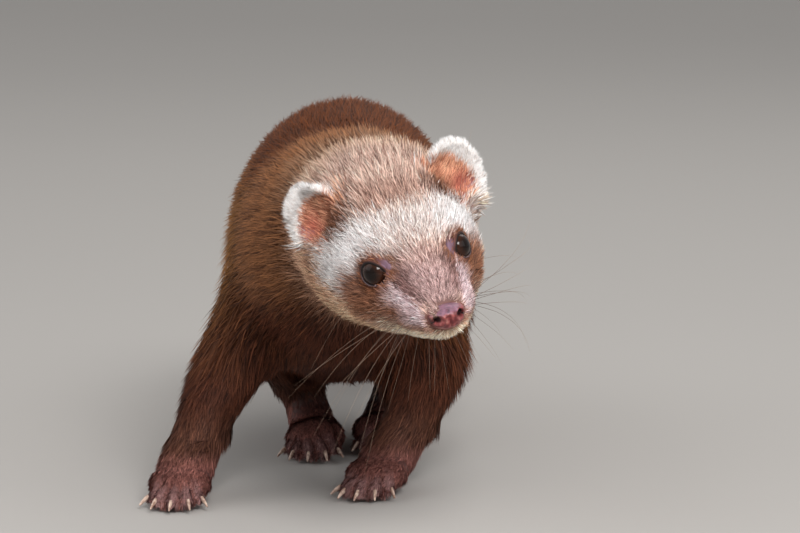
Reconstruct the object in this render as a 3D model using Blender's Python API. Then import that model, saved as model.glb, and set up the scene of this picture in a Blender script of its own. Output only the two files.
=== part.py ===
"""A standing ferret at life size: one modelled body, parted by thin cuts.

The animal faces -Y with its head turned a little to +X. Its right side is at -X.
Sizes are in millimetres here and become metres when a mesh is made.
"""
import math

import bmesh
import bpy
from mathutils import Matrix, Vector

MM = 0.001
GAP = 0.3                      # clearance between neighbouring solids
CUT = 0.34                     # thickness of a parting cut
SIDES = 28                     # points round a lofted form
STEP = 3.0                     # spacing of the rings along a loft
HEAD_STEP = 2.0
PAW_STEP = 2.0
TOE_STEP = 1.2
UP = Vector((0.0, 0.0, 1.0))

# Where the model stands in its own frame: the middle of its box is at x = y = 0.
SHIFT = Vector((26.2, -177.5, 0.0))

# Head: turned to +X, nose down, leaning with its right side low.
NOSE_TIP = Vector((13.6, -34.5, 69.8))
HEAD_YAW = 16.9
HEAD_PITCH = 13.2
HEAD_ROLL = 16.1
EYE_RADIUS = 4.0
EYE_CENTRE = Vector((11.7, 26.2, 8.0))
EYE_HOLLOW = 2.2               # how far the face dips round each eye
EYE_HOLLOW_REACH = 7.5
EARS = {                       # base, way the flap points, way its hollow faces
    "ear_right": ((-18.4, 49.0, 12.6), (-0.38, 0.22, 0.90), (-0.42, -0.88, 0.05)),
    "ear_left": ((19.2, 49.0, 12.9), (0.36, 0.22, 0.91), (0.10, -0.96, 0.10)),
}
EAR_WIDTH = 19.6
EAR_HEIGHT = 15.6
EAR_THICKNESS = 3.2
EAR_ROOT = -0.45               # where the flap starts, as a share of its height
EAR_NARROWEST = 2.4            # least half width, at the tip
EAR_ROUNDNESS = 2.3
EAR_CUP = 5.2                  # depth of the hollow
EAR_CUP_FADE = 0.55            # how much shallower the hollow is at the tip
EAR_COLUMNS = 15
EAR_ROWS = 13
NOSE_WIDTH = 10.4
NOSE_HEIGHT = 7.6
NOSE_DEPTH = 7.0
NOSE_SIDES = 20
NOSE_SQUARENESS = 2.4
NOSE_NARROWING = 0.18          # how much narrower the pad is along its lower edge
NOSE_SINK = 0.2
NOSE_SECTIONS = ((-0.9, 0.45), (-0.3, 0.8), (1.2, 1.0), (3.5, 1.02), (NOSE_DEPTH, 0.8))

# Head sections from nose to nape: distance back, level of the widest point,
# half width, top, bottom, squareness of the section.
HEAD_SECTIONS = (
    (0.8, 0.0, 3.4, 3.4, -3.6, 2.2),
    (3.0, -0.6, 6.6, 4.8, -7.4, 2.3),
    (8.0, -1.4, 9.4, 6.8, -9.8, 2.4),
    (14.0, -1.6, 12.0, 9.4, -11.4, 2.4),
    (20.0, -1.0, 14.6, 12.8, -12.8, 2.4),
    (27.0, 0.0, 18.6, 17.6, -14.6, 2.3),
    (35.0, 0.0, 22.8, 22.0, -16.6, 2.2),
    (43.0, 0.0, 25.4, 25.2, -18.8, 2.1),
    (52.0, 0.5, 26.6, 27.0, -20.6, 2.1),
    (62.0, 1.0, 26.6, 27.8, -22.4, 2.0),
    (72.0, 1.0, 26.0, 27.0, -23.4, 2.0),
    (82.0, 1.0, 24.0, 24.0, -22.6, 2.0),
    (90.0, 1.0, 20.0, 18.0, -19.0, 2.0),
)

# Spine: centre x, y, z, half width, half height.
SPINE = (
    (-5.0, 32.0, 86.0, 21.0, 21.0),
    (-9.0, 46.0, 85.5, 27.0, 27.5),
    (-12.5, 62.0, 83.0, 30.0, 31.0),
    (-15.5, 82.0, 77.0, 34.0, 36.0),
    (-17.0, 102.0, 73.0, 36.5, 39.5),
    (-17.5, 126.0, 71.0, 37.5, 43.5),
    (-17.5, 150.0, 68.5, 38.0, 46.5),
    (-17.5, 176.0, 67.5, 38.5, 46.5),
    (-17.5, 199.0, 65.5, 38.5, 43.0),
    (-17.0, 222.0, 64.0, 36.0, 36.0),
    (-16.5, 242.0, 59.5, 30.5, 28.5),
    (-16.0, 259.0, 53.5, 22.5, 21.5),
    (-15.5, 272.0, 47.5, 15.0, 15.5),
)

TAIL = (
    (-15.5, 252.0, 58.0, 14.5, 14.5),
    (-15.0, 270.0, 48.5, 14.0, 14.0),
    (-14.0, 291.0, 35.5, 13.5, 13.5),
    (-13.5, 314.0, 24.5, 14.0, 13.5),
    (-15.0, 340.0, 18.5, 13.5, 13.0),
    (-19.0, 364.0, 18.5, 11.5, 11.0),
    (-24.0, 382.0, 20.0, 7.5, 7.5),
    (-27.0, 392.0, 21.5, 2.0, 2.0),
)

# Legs from the body down to the paw: centre x, y, z, half width, half depth.
FORELEG_RIGHT = (
    (-35.0, 96.0, 76.0, 15.0, 18.0),
    (-40.0, 98.0, 60.0, 16.5, 19.0),
    (-48.0, 97.0, 44.0, 15.0, 16.5),
    (-56.0, 90.0, 29.0, 12.8, 13.0),
    (-62.0, 80.0, 17.0, 10.2, 10.5),
    (-65.0, 74.0, 8.0, 9.2, 9.5),
    (-65.5, 72.0, 2.0, 7.5, 8.0),
)
FORELEG_LEFT = (
    (0.0, 98.0, 76.0, 15.0, 18.0),
    (4.5, 102.0, 60.0, 16.0, 19.0),
    (9.0, 104.0, 44.0, 14.8, 16.5),
    (7.5, 102.0, 29.0, 12.8, 13.0),
    (0.0, 97.0, 17.0, 10.2, 10.5),
    (-4.5, 92.0, 8.0, 9.2, 9.5),
    (-5.5, 90.0, 2.0, 7.5, 8.0),
)
THIGH = (
    (-25.0, 232.0, 66.0, 13.0, 16.0),
    (-31.5, 224.0, 62.0, 17.0, 23.0),
    (-37.5, 211.0, 56.0, 18.5, 27.0),
    (-41.0, 194.0, 48.0, 17.5, 27.0),
    (-40.5, 177.0, 38.0, 15.0, 20.0),
    (-38.0, 165.0, 30.0, 11.5, 13.0),
    (-37.0, 157.0, 26.0, 5.5, 6.0),
)
SHIN = (
    (-37.0, 165.0, 33.0, 13.0, 13.0),
    (-35.0, 179.0, 26.0, 12.0, 12.5),
    (-32.5, 192.0, 19.0, 9.5, 10.0),
    (-31.0, 199.0, 15.0, 8.0, 8.5),
)
HIND_FOOT = (
    (-31.0, 200.0, 16.5, 7.5, 7.0),
    (-30.0, 188.0, 12.0, 8.0, 7.5),
    (-28.5, 174.0, 8.0, 8.5, 7.0),
    (-27.5, 162.0, 6.0, 9.0, 6.5),
    (-27.0, 155.0, 4.5, 8.0, 5.5),
)
MIDLINE = -16.5                # plane between the hind legs
HIND_LEFT_BACK = 12.0          # the left hind foot stands this much further back

# Paws: middle of the palm x, y, then the way the toes point, in degrees from -Y.
PAWS = {
    "fore_right": (-65.6, 70.0, -6.0, 1.0),
    "fore_left": (-6.4, 86.0, -18.0, 1.0),
    "hind_right": (-27.0, 158.0, -5.0, 1.06),
    "hind_left": (-6.0, 170.0, 4.0, 1.06),
}
# Palm from heel to toes: distance ahead of its middle, height, half width, half height.
PALM_ROWS = (
    (-9.9, 5.0, 5.5, 4.6),
    (-3.6, 6.2, 8.9, 6.9),
    (4.5, 5.6, 9.6, 6.2),
    (11.2, 4.5, 6.0, 4.0),
)
TOE_SPREAD = (-33.0, -15.0, 0.0, 15.0, 33.0)
TOE_REACH = (12.5, 16.5, 17.8, 16.5, 12.5)
# Toe from root to tip: share of its reach, distance past that, height, radius.
TOE_ROWS = (
    (0.0, 4.0, 5.4, 2.5),
    (0.78, 0.0, 5.0, 2.6),
    (1.0, 1.2, 2.5, 2.3),
    (1.0, 3.0, 2.2, 0.9),
)
CLAW_LENGTH = 6.0
CLAW_RADIUS = 0.95
CLAW_ROOT = 1.0                # how far past the toe's reach a claw starts
CLAW_HEIGHT = 3.6              # height of the claw's root
CLAW_RISE = 1.0                # height of the claw's tip
CLAW_STEPS = 4
CLAW_SIDES = 6
CLAW_CURVE = 1.7               # how late the claw bends down
CLAW_TAPER = 0.7
CLAW_POINT = 0.25              # least radius
CLAW_NARROW = 0.8              # half width and half height as shares of the radius
CLAW_TALL = 1.25

# Colours, roughness.
PALETTE = {
    "coat_rust": ((0.26, 0.11, 0.055), 0.9),
    "coat_dark": ((0.13, 0.055, 0.035), 0.9),
    "coat_face": ((0.36, 0.21, 0.13), 0.9),
    "coat_ear": ((0.62, 0.50, 0.42), 0.9),
    "nose_leather": ((0.45, 0.16, 0.15), 0.45),
    "eye_gloss": ((0.02, 0.01, 0.008), 0.05),
    "claw_horn": ((0.62, 0.46, 0.36), 0.4),
}

# Resolution of the body before and after it is thinned.
CORE_VOXEL = 1.7
CORE_SMOOTH = 14
BODY_VOXEL = 1.15
BODY_SMOOTH = 4
BODY_FACES = 4250
FINE_SHARE = 0.13              # how strongly head and paws keep their faces
HIND_SHARE = 0.62              # the hind paws' share of what the forepaws keep
HEAD_FINE_REACH = 70.0         # from the nose tip to where the head is coarse
PAW_FINE_REACH = 22.0          # from the floor to where a leg is coarse
EAR_VOXEL = 0.7
EAR_SMOOTH = 5
EAR_FACES = 420
SHARPEST = 1.6                 # limit on how far a sharp corner grows


def clear_scene():
    for thing in list(bpy.data.objects):
        bpy.data.objects.remove(thing, do_unlink=True)


def head_matrix():
    """From the head's own axes (x to its left, y back, z up) to the model's."""
    turn = Matrix.Rotation(math.radians(HEAD_YAW), 4, "Z")
    dip = Matrix.Rotation(math.radians(HEAD_PITCH), 4, "X")
    lean = Matrix.Rotation(math.radians(-HEAD_ROLL), 4, "Y")
    return Matrix.Translation(NOSE_TIP) @ turn @ dip @ lean


def spread_rows(rows, spacing):
    """Rows at an even spacing on the smooth curve through the given rows."""
    full = [rows[0], *rows, rows[-1]]
    out = []
    for before, start, end, after in zip(full, full[1:], full[2:], full[3:]):
        length = math.dist(start[:3], end[:3])
        count = max(1, round(length / spacing))
        for step in range(count):
            t = step / count
            out.append([
                0.5 * (2 * b + (c - a) * t + (2 * a - 5 * b + 4 * c - d) * t * t
                       + (3 * b - a - 3 * c + d) * t ** 3)
                for a, b, c, d in zip(before, start, end, after)
            ])
    out.append(list(rows[-1]))
    return out


def superellipse(angle, power):
    """A point of the unit superellipse at an angle."""
    c = math.cos(angle)
    s = math.sin(angle)
    across = math.copysign(abs(c) ** (2 / power), c)
    along = math.copysign(abs(s) ** (2 / power), s)
    return across, along


def add_mesh(name, points, faces):
    """An object with this mesh, its faces turned outwards, in metres."""
    mesh = bpy.data.meshes.new(name)
    mesh.from_pydata([tuple(Vector(p) * MM) for p in points], [], faces)
    bm = bmesh.new()
    bm.from_mesh(mesh)
    bmesh.ops.recalc_face_normals(bm, faces=bm.faces)
    bm.to_mesh(mesh)
    bm.free()
    thing = bpy.data.objects.new(name, mesh)
    bpy.context.collection.objects.link(thing)
    return thing


def skin_rings(name, rings):
    """A closed form through rings that all have the same number of points."""
    count = len(rings[0])
    points = [p for ring in rings for p in ring]
    faces = []
    for level in range(len(rings) - 1):
        low = level * count
        for k in range(count):
            nxt = (k + 1) % count
            faces.append((low + k, low + nxt, low + count + nxt, low + count + k))
    faces.append(tuple(range(count)))
    faces.append(tuple(range(len(points) - count, len(points))))
    return add_mesh(name, points, faces)


def loft(name, rows, up=UP, power=2.0, spacing=STEP, sides=SIDES):
    """A tube through rows of centre, half width and half height."""
    rows = spread_rows(rows, spacing)
    centres = [Vector(row[:3]) for row in rows]
    rings = []
    for index, row in enumerate(rows):
        ahead = centres[min(index + 1, len(rows) - 1)]
        behind = centres[max(index - 1, 0)]
        along = (ahead - behind).normalized()
        side = along.cross(up).normalized()
        rise = side.cross(along)
        ring = []
        for k in range(sides):
            across, high = superellipse(2 * math.pi * k / sides, power)
            ring.append(centres[index] + side * across * row[3] + rise * high * row[4])
        rings.append(ring)
    return skin_rings(name, rings)


def head_form():
    """The head as sections across its own length."""
    place = head_matrix()
    rows = [(0.0, row[0], 0.0) + row[1:] for row in HEAD_SECTIONS]
    rings = []
    for _, back, _, level, width, top, bottom, power in spread_rows(rows, HEAD_STEP):
        ring = []
        for k in range(SIDES):
            across, high = superellipse(2 * math.pi * k / SIDES, power)
            reach = top - level if high > 0 else level - bottom
            point = Vector((across * width, back, level + high * reach))
            eye = Vector((math.copysign(EYE_CENTRE.x, point.x), EYE_CENTRE.y, EYE_CENTRE.z))
            share = math.exp(-((point - eye).length / EYE_HOLLOW_REACH) ** 2)
            inward = Vector((0.0, back, 0.0)) - point
            ring.append(place @ (point + inward.normalized() * EYE_HOLLOW * share))
        rings.append(ring)
    return skin_rings("head_form", rings)


def toe_direction(heading):
    """The level direction at a heading in degrees from -Y, turning towards +X."""
    angle = math.radians(heading)
    return Vector((math.sin(angle), -math.cos(angle), 0.0))


def paw_forms(name, place):
    """The palm and five toes of one paw."""
    x, y, heading, size = place
    middle = Vector((x, y, 0.0))
    forward = toe_direction(heading)
    rows = []
    for ahead, height, half_width, half_height in PALM_ROWS:
        rows.append((*(middle + forward * ahead + UP * height), half_width, half_height))
    forms = [loft(name + "_palm", rows, spacing=PAW_STEP)]
    for index, (spread, reach) in enumerate(zip(TOE_SPREAD, TOE_REACH)):
        way = toe_direction(heading + spread)
        rows = []
        for share, past, height, radius in TOE_ROWS:
            centre = middle + way * (share * reach * size + past) + UP * height
            rows.append((*centre, radius, radius))
        forms.append(loft(f"{name}_toe_{index}", rows, spacing=TOE_STEP))
    return forms


def claw_form(name, place, spread, reach):
    """One curved, tapering claw ahead of its toe."""
    x, y, heading, size = place
    way = toe_direction(heading + spread)
    start = Vector((x, y, 0.0)) + way * (reach * size + CLAW_ROOT) + UP * CLAW_HEIGHT
    rows = []
    for step in range(CLAW_STEPS + 1):
        t = step / CLAW_STEPS
        drop = (CLAW_HEIGHT - CLAW_RISE) * t ** CLAW_CURVE
        radius = max(CLAW_RADIUS * (1 - t) ** CLAW_TAPER, CLAW_POINT)
        centre = start + way * CLAW_LENGTH * t - UP * drop
        rows.append((*centre, radius * CLAW_NARROW, radius * CLAW_TALL))
    return loft(name, rows, spacing=CLAW_LENGTH, sides=CLAW_SIDES)


def join(things, name):
    """One object from several meshes, each with its place applied."""
    bm = bmesh.new()
    for thing in things:
        thing.data.transform(thing.matrix_world)
        bm.from_mesh(thing.data)
        bpy.data.objects.remove(thing, do_unlink=True)
    mesh = bpy.data.meshes.new(name)
    bm.to_mesh(mesh)
    bm.free()
    joined = bpy.data.objects.new(name, mesh)
    bpy.context.collection.objects.link(joined)
    return joined


def apply_modifiers(thing):
    """Replace the mesh by what its modifiers make of it."""
    graph = bpy.context.evaluated_depsgraph_get()
    mesh = bpy.data.meshes.new_from_object(thing.evaluated_get(graph))
    thing.modifiers.clear()
    thing.data = mesh
    return thing


def fuse(thing, voxel, rounds):
    """Melt overlapping forms into one smooth closed surface."""
    remesh = thing.modifiers.new("fuse", "REMESH")
    remesh.mode = "VOXEL"
    remesh.voxel_size = voxel * MM
    smooth = thing.modifiers.new("smooth", "SMOOTH")
    smooth.factor = 0.5
    smooth.iterations = rounds
    return apply_modifiers(thing)


def thin_out(thing, target, keep=None):
    """Reduce to about a number of triangles; `keep` weighs what stays fine."""
    count = sum(len(face.vertices) - 2 for face in thing.data.polygons)
    decimate = thing.modifiers.new("thin", "DECIMATE")
    decimate.ratio = min(1.0, target / count)
    if keep is not None:
        group = thing.vertex_groups.new(name="coarse")
        for vertex in thing.data.vertices:
            group.add([vertex.index], 1.0 - keep(vertex.co / MM), "REPLACE")
        decimate.vertex_group = group.name
        decimate.vertex_group_factor = 1.0
    apply_modifiers(thing)
    thing.vertex_groups.clear()
    return thing


def keep_fine(point):
    """How much a place keeps its faces: most on the face and the paws."""
    from_nose = (point - NOSE_TIP).length
    head = max(0.0, 1.0 - from_nose / HEAD_FINE_REACH)
    paw = max(0.0, 1.0 - point.z / PAW_FINE_REACH)
    if point.y > (FORELEG_LEFT[0][1] + THIGH[-1][1]) / 2:
        paw *= HIND_SHARE
    return FINE_SHARE * max(head, paw)


def level_soles(thing):
    """Cut off what is under the floor, which leaves small flats."""
    bm = bmesh.new()
    bm.from_mesh(thing.data)
    whole = bm.verts[:] + bm.edges[:] + bm.faces[:]
    cut = bmesh.ops.bisect_plane(
        bm, geom=whole, dist=1e-7, plane_co=(0, 0, 0), plane_no=(0, 0, 1), clear_inner=True)
    rim = [item for item in cut["geom_cut"] if isinstance(item, bmesh.types.BMEdge)]
    bmesh.ops.holes_fill(bm, edges=rim, sides=0)
    bmesh.ops.triangulate(bm, faces=bm.faces)
    bm.to_mesh(thing.data)
    bm.free()
    return thing


def slab(centre, normal, half_sizes, thickness=CUT):
    """A thin plate that parts the body where it passes."""
    normal = Vector(normal).normalized()
    turn = normal.to_track_quat("Z", "Y").to_matrix().to_4x4()
    place = Matrix.Translation(Vector(centre)) @ turn
    wide, long = half_sizes
    corners = [
        place @ Vector((i * wide, j * long, k * thickness / 2))
        for i in (-1, 1) for j in (-1, 1) for k in (-1, 1)
    ]
    faces = [(0, 1, 3, 2), (4, 6, 7, 5), (0, 4, 5, 1), (2, 3, 7, 6), (0, 2, 6, 4), (1, 5, 7, 3)]
    return add_mesh("cut", corners, faces)


def subtract(thing, cutter):
    """Take the cutter's shape out of the thing, and remove the cutter."""
    boolean = thing.modifiers.new("cut", "BOOLEAN")
    boolean.operation = "DIFFERENCE"
    boolean.solver = "EXACT"
    boolean.object = cutter
    apply_modifiers(thing)
    bpy.data.objects.remove(cutter, do_unlink=True)
    return thing


def swollen(thing, distance):
    """A copy of a solid, grown all over by a distance."""
    mesh = thing.data.copy()
    bm = bmesh.new()
    bm.from_mesh(mesh)
    bm.normal_update()
    moved = []
    for vert in bm.verts:
        reach = min(vert.calc_shell_factor(), SHARPEST) * distance * MM
        moved.append(vert.co + vert.normal * reach)
    for vert, place in zip(bm.verts, moved):
        vert.co = place
    bm.to_mesh(mesh)
    bm.free()
    copy = bpy.data.objects.new("swollen", mesh)
    bpy.context.collection.objects.link(copy)
    return copy


def ball(name, centre, radius, around=16, levels=9):
    """A faceted sphere in the model's frame."""
    bm = bmesh.new()
    bmesh.ops.create_uvsphere(bm, u_segments=around, v_segments=levels, radius=radius * MM)
    bmesh.ops.triangulate(bm, faces=bm.faces)
    bmesh.ops.translate(bm, verts=bm.verts, vec=Vector(centre) * MM)
    mesh = bpy.data.meshes.new(name)
    bm.to_mesh(mesh)
    bm.free()
    thing = bpy.data.objects.new(name, mesh)
    bpy.context.collection.objects.link(thing)
    return thing


def nose_form(grow=0.0):
    """The bare nose pad: a rounded block set in the end of the muzzle."""
    place = head_matrix()
    rings = []
    for back, share in NOSE_SECTIONS:
        ring = []
        for k in range(NOSE_SIDES):
            across, high = superellipse(2 * math.pi * k / NOSE_SIDES, NOSE_SQUARENESS)
            narrowing = 1.0 - NOSE_NARROWING * max(0.0, -high)
            wide = (NOSE_WIDTH / 2 * share + grow) * across * narrowing
            tall = (NOSE_HEIGHT / 2 * share + grow) * high
            shift = grow if back > 0 else -grow
            ring.append(place @ Vector((wide, back + shift, tall - NOSE_SINK)))
        rings.append(ring)
    return skin_rings("nose", rings)


def ear_form(name, base, up, facing):
    """A cupped, rounded ear flap whose hollow faces forward and out."""
    place = head_matrix()
    base = Vector(base)
    up = Vector(up).normalized()
    facing = Vector(facing)
    facing = (facing - up * facing.dot(up)).normalized()
    across = up.cross(facing).normalized()
    columns = EAR_COLUMNS
    rows = EAR_ROWS
    front = []
    for i in range(rows):
        v = EAR_ROOT + (1 - EAR_ROOT) * i / (rows - 1)
        high = max(0.0, v)
        for j in range(columns):
            u = -1 + 2 * j / (columns - 1)
            half = EAR_WIDTH / 2 * math.sqrt(1 - high ** EAR_ROUNDNESS)
            half = max(half, EAR_NARROWEST)
            cup = EAR_CUP * (1 - u * u) * (1 - EAR_CUP_FADE * high ** 2)
            front.append(base + across * u * half + up * v * EAR_HEIGHT - facing * cup)
    points = [place @ p for p in front]
    back = (place.to_3x3() @ facing) * -EAR_THICKNESS
    points += [p + back for p in points]
    faces = []
    total = rows * columns
    for i in range(rows - 1):
        for j in range(columns - 1):
            a = i * columns + j
            faces.append((a, a + 1, a + columns + 1, a + columns))
            faces.append((total + a, total + a + columns, total + a + columns + 1, total + a + 1))
    rim = (
        [j for j in range(columns)]
        + [i * columns + columns - 1 for i in range(1, rows)]
        + [(rows - 1) * columns + j for j in range(columns - 2, -1, -1)]
        + [i * columns for i in range(rows - 2, 0, -1)]
    )
    for a, b in zip(rim, rim[1:] + rim[:1]):
        faces.append((a, b, total + b, total + a))
    ear = add_mesh(name, points, faces)
    fuse(ear, EAR_VOXEL, EAR_SMOOTH)
    return thin_out(ear, EAR_FACES)


def mirrored(rows, back):
    """The same rows on the other side of the midline, a little further back."""
    return [(2 * MIDLINE - row[0], row[1] + back, *row[2:]) for row in rows]


def body_form():
    """Everything of flesh except the ears, as one closed surface."""
    core = [loft("spine", SPINE), loft("tail", TAIL)]
    front = Vector((0, -1, 0))
    for name, rows in (("fore_right", FORELEG_RIGHT), ("fore_left", FORELEG_LEFT)):
        core.append(loft(name, rows, up=front))
    for name, back in (("hind_right", None), ("hind_left", HIND_LEFT_BACK)):
        for part, rows in (("thigh", THIGH), ("shin", SHIN), ("foot", HIND_FOOT)):
            if back is not None:
                rows = mirrored(rows, back)
            core.append(loft(f"{name}_{part}", rows))
    core = fuse(join(core, "core"), CORE_VOXEL, CORE_SMOOTH)
    forms = [core, head_form()]
    for name, place in PAWS.items():
        forms += paw_forms(name, place)
    body = fuse(join(forms, "body"), BODY_VOXEL, BODY_SMOOTH)
    thin_out(body, BODY_FACES, keep_fine)
    return level_soles(body)


# Parting cuts: middle, direction across the cut, half sizes of the plate.
CUTS = (
    ((-13.0, 78.0, 79.0), (-0.15, 0.97, -0.14), (38.0, 38.0)),      # neck from chest
    ((-17.5, 133.0, 71.0), (0.0, 1.0, 0.0), (46.0, 52.0)),          # chest from abdomen
    ((-15.0, 275.0, 45.5), (0.0, 0.82, -0.57), (22.0, 22.0)),       # tail from rump
    ((-13.8, 311.0, 23.5), (0.0, 0.95, -0.25), (20.0, 20.0)),
    ((-17.0, 352.0, 18.5), (-0.15, 0.99, 0.0), (18.0, 17.0)),
    ((-50.5, 97.0, 42.5), (-0.62, 0.0, -0.79), (30.0, 27.0)),       # right upper arm
    ((-56.5, 89.0, 27.0), (-0.42, -0.32, -0.85), (20.0, 20.0)),
    ((-63.3, 77.5, 13.0), (-0.30, -0.35, -0.88), (15.0, 15.0)),
    ((16.5, 103.0, 42.5), (0.62, 0.0, -0.79), (28.0, 28.0)),        # left upper arm
    ((5.5, 101.0, 24.5), (-0.25, -0.20, -0.95), (20.0, 18.0)),
    ((-1.5, 94.5, 13.0), (-0.35, -0.30, -0.88), (15.0, 15.0)),
    ((-43.1, 190.0, 32.7), (-0.58, 0.0, -0.81), (46.0, 22.3)),      # right thigh
    ((-33.0, 184.0, 20.0), (0.0, 0.0, -1.0), (20.0, 34.0)),
    ((10.1, 202.0, 32.7), (0.58, 0.0, -0.81), (46.0, 22.3)),        # left thigh
    ((0.0, 196.0, 20.0), (0.0, 0.0, -1.0), (20.0, 34.0)),
)

NAPE_CUT = Vector((0.0, 67.0, 1.0))    # in the head's own axes, behind the ears
NAPE_PLATE = (36.0, 36.0)

# A point in each node of flesh, by which the parted pieces get their names.
LABELS = {
    "head": (6.0, -13.0, 78.0),
    "neck": (-11.0, 52.0, 83.0),
    "chest": (-20.0, 103.0, 52.0),
    "abdomen": (-17.0, 193.0, 53.0),
    "tail_base": (-14.0, 292.0, 31.0),
    "tail_middle": (-14.0, 330.0, 21.0),
    "tail_end": (-18.0, 362.0, 19.0),
    "foreleg_right_upper": (-54.0, 95.0, 36.0),
    "foreleg_right_lower": (-60.0, 83.0, 17.0),
    "foreleg_left_upper": (9.0, 103.0, 34.0),
    "foreleg_left_lower": (2.0, 99.0, 16.0),
    "forepaw_right": (-66.0, 68.0, 5.0),
    "forepaw_left": (-7.0, 85.0, 4.0),
    "hindleg_right": (-41.0, 181.0, 26.0),
    "hindleg_left": (8.0, 193.0, 26.0),
    "hindpaw_right": (-29.0, 165.0, 6.0),
    "hindpaw_left": (-5.0, 177.0, 6.0),
}


def loose_parts(thing):
    """Each separate closed piece of a mesh, as a set of face indices."""
    bm = bmesh.new()
    bm.from_mesh(thing.data)
    bm.faces.ensure_lookup_table()
    seen = set()
    parts = []
    for face in bm.faces:
        if face.index in seen:
            continue
        seen.add(face.index)
        part = {face.index}
        queue = [face]
        while queue:
            for edge in queue.pop().edges:
                for other in edge.link_faces:
                    if other.index not in seen:
                        seen.add(other.index)
                        part.add(other.index)
                        queue.append(other)
        parts.append(part)
    bm.free()
    return parts


def copy_part(thing, part, name):
    """A new object that holds only these faces."""
    bm = bmesh.new()
    bm.from_mesh(thing.data)
    bm.faces.ensure_lookup_table()
    others = [face for face in bm.faces if face.index not in part]
    bmesh.ops.delete(bm, geom=others, context="FACES")
    mesh = bpy.data.meshes.new(name)
    bm.to_mesh(mesh)
    bm.free()
    piece = bpy.data.objects.new(name, mesh)
    bpy.context.collection.objects.link(piece)
    return piece


def middle_of(thing):
    """The mean of a mesh's corners, in millimetres."""
    corners = [vertex.co for vertex in thing.data.vertices]
    return sum(corners, Vector()) / len(corners) / MM


def part_body(body):
    """Cut the body into its named nodes."""
    place = head_matrix()
    nape = slab(place @ NAPE_CUT, place.to_3x3() @ Vector((0, 1, 0)), NAPE_PLATE)
    subtract(body, nape)
    for centre, normal, half_sizes in CUTS:
        subtract(body, slab(centre, normal, half_sizes))
    nodes = {}
    for part in loose_parts(body):
        piece = copy_part(body, part, "piece")
        middle = middle_of(piece)
        name = min(LABELS, key=lambda label: (Vector(LABELS[label]) - middle).length)
        if name in nodes:
            raise ValueError(f"two pieces lie nearest to {name}")
        piece.name = name
        nodes[name] = piece
    if len(nodes) != len(LABELS):
        raise ValueError(f"the cuts leave {len(nodes)} pieces, not {len(LABELS)}")
    bpy.data.objects.remove(body, do_unlink=True)
    return nodes


def set_eyes_and_nose(body):
    """Sockets in the face, and the eyes and nose pad that sit in them."""
    place = head_matrix()
    for name, side in (("eye_right", -1), ("eye_left", 1)):
        centre = place @ Vector((EYE_CENTRE.x * side, EYE_CENTRE.y, EYE_CENTRE.z))
        subtract(body, ball("socket", centre, EYE_RADIUS + GAP))
        ball(name, centre, EYE_RADIUS)
    subtract(body, nose_form(GAP))
    nose_form()


def add_ears(head):
    """Ears that stand on the head with a fine gap."""
    for name, (base, up, facing) in EARS.items():
        subtract(ear_form(name, base, up, facing), swollen(head, GAP))


def add_claws(nodes):
    """Five claws in front of each paw, with a fine gap to the toes."""
    for name, paw in PAWS.items():
        limb, side = name.split("_")
        foot = nodes[f"{limb}paw_{side}"]
        for index, (spread, reach) in enumerate(zip(TOE_SPREAD, TOE_REACH)):
            claw = claw_form(f"claw_{name}_{index + 1}", paw, spread, reach)
            subtract(claw, swollen(foot, GAP))


def finish_for(name):
    """The entry of the palette that a node wears."""
    if name.startswith("claw"):
        return "claw_horn"
    if name.startswith("eye"):
        return "eye_gloss"
    if name.startswith("ear"):
        return "coat_ear"
    if name.startswith("nose"):
        return "nose_leather"
    if name.startswith("head"):
        return "coat_face"
    if name in ("neck", "abdomen", "tail_base"):
        return "coat_rust"
    return "coat_dark"


def paint(thing):
    """Give a node its own material, with its colour and roughness."""
    colour, roughness = PALETTE[finish_for(thing.name)]
    material = bpy.data.materials.new(thing.name)
    material.use_nodes = True
    shader = material.node_tree.nodes["Principled BSDF"]
    shader.inputs["Base Color"].default_value = (*colour, 1.0)
    shader.inputs["Roughness"].default_value = roughness
    shader.inputs["Metallic"].default_value = 0.0
    thing.data.materials.clear()
    thing.data.materials.append(material)


def main():
    clear_scene()
    body = body_form()
    set_eyes_and_nose(body)
    nodes = part_body(body)
    add_ears(nodes["head"])
    add_claws(nodes)
    for thing in bpy.data.objects:
        thing.data.transform(Matrix.Translation(SHIFT * MM))
        paint(thing)


if __name__ == "__main__":
    main()
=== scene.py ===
"""The looks of a standing ferret, built round its parted solids.

One skin replaces the solids of flesh and lies inside them by the depth of the coat.
Tufts of fur stand on it and reach out to the solids' faces. The eyes, nose pad,
claws and whiskers are pieces of their own. Lengths are in millimetres in the
arrays and become metres when a mesh is made.
"""

import math

import bmesh
import bpy
import numpy as np
from mathutils import Matrix, Vector
from mathutils.bvhtree import BVHTree


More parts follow.
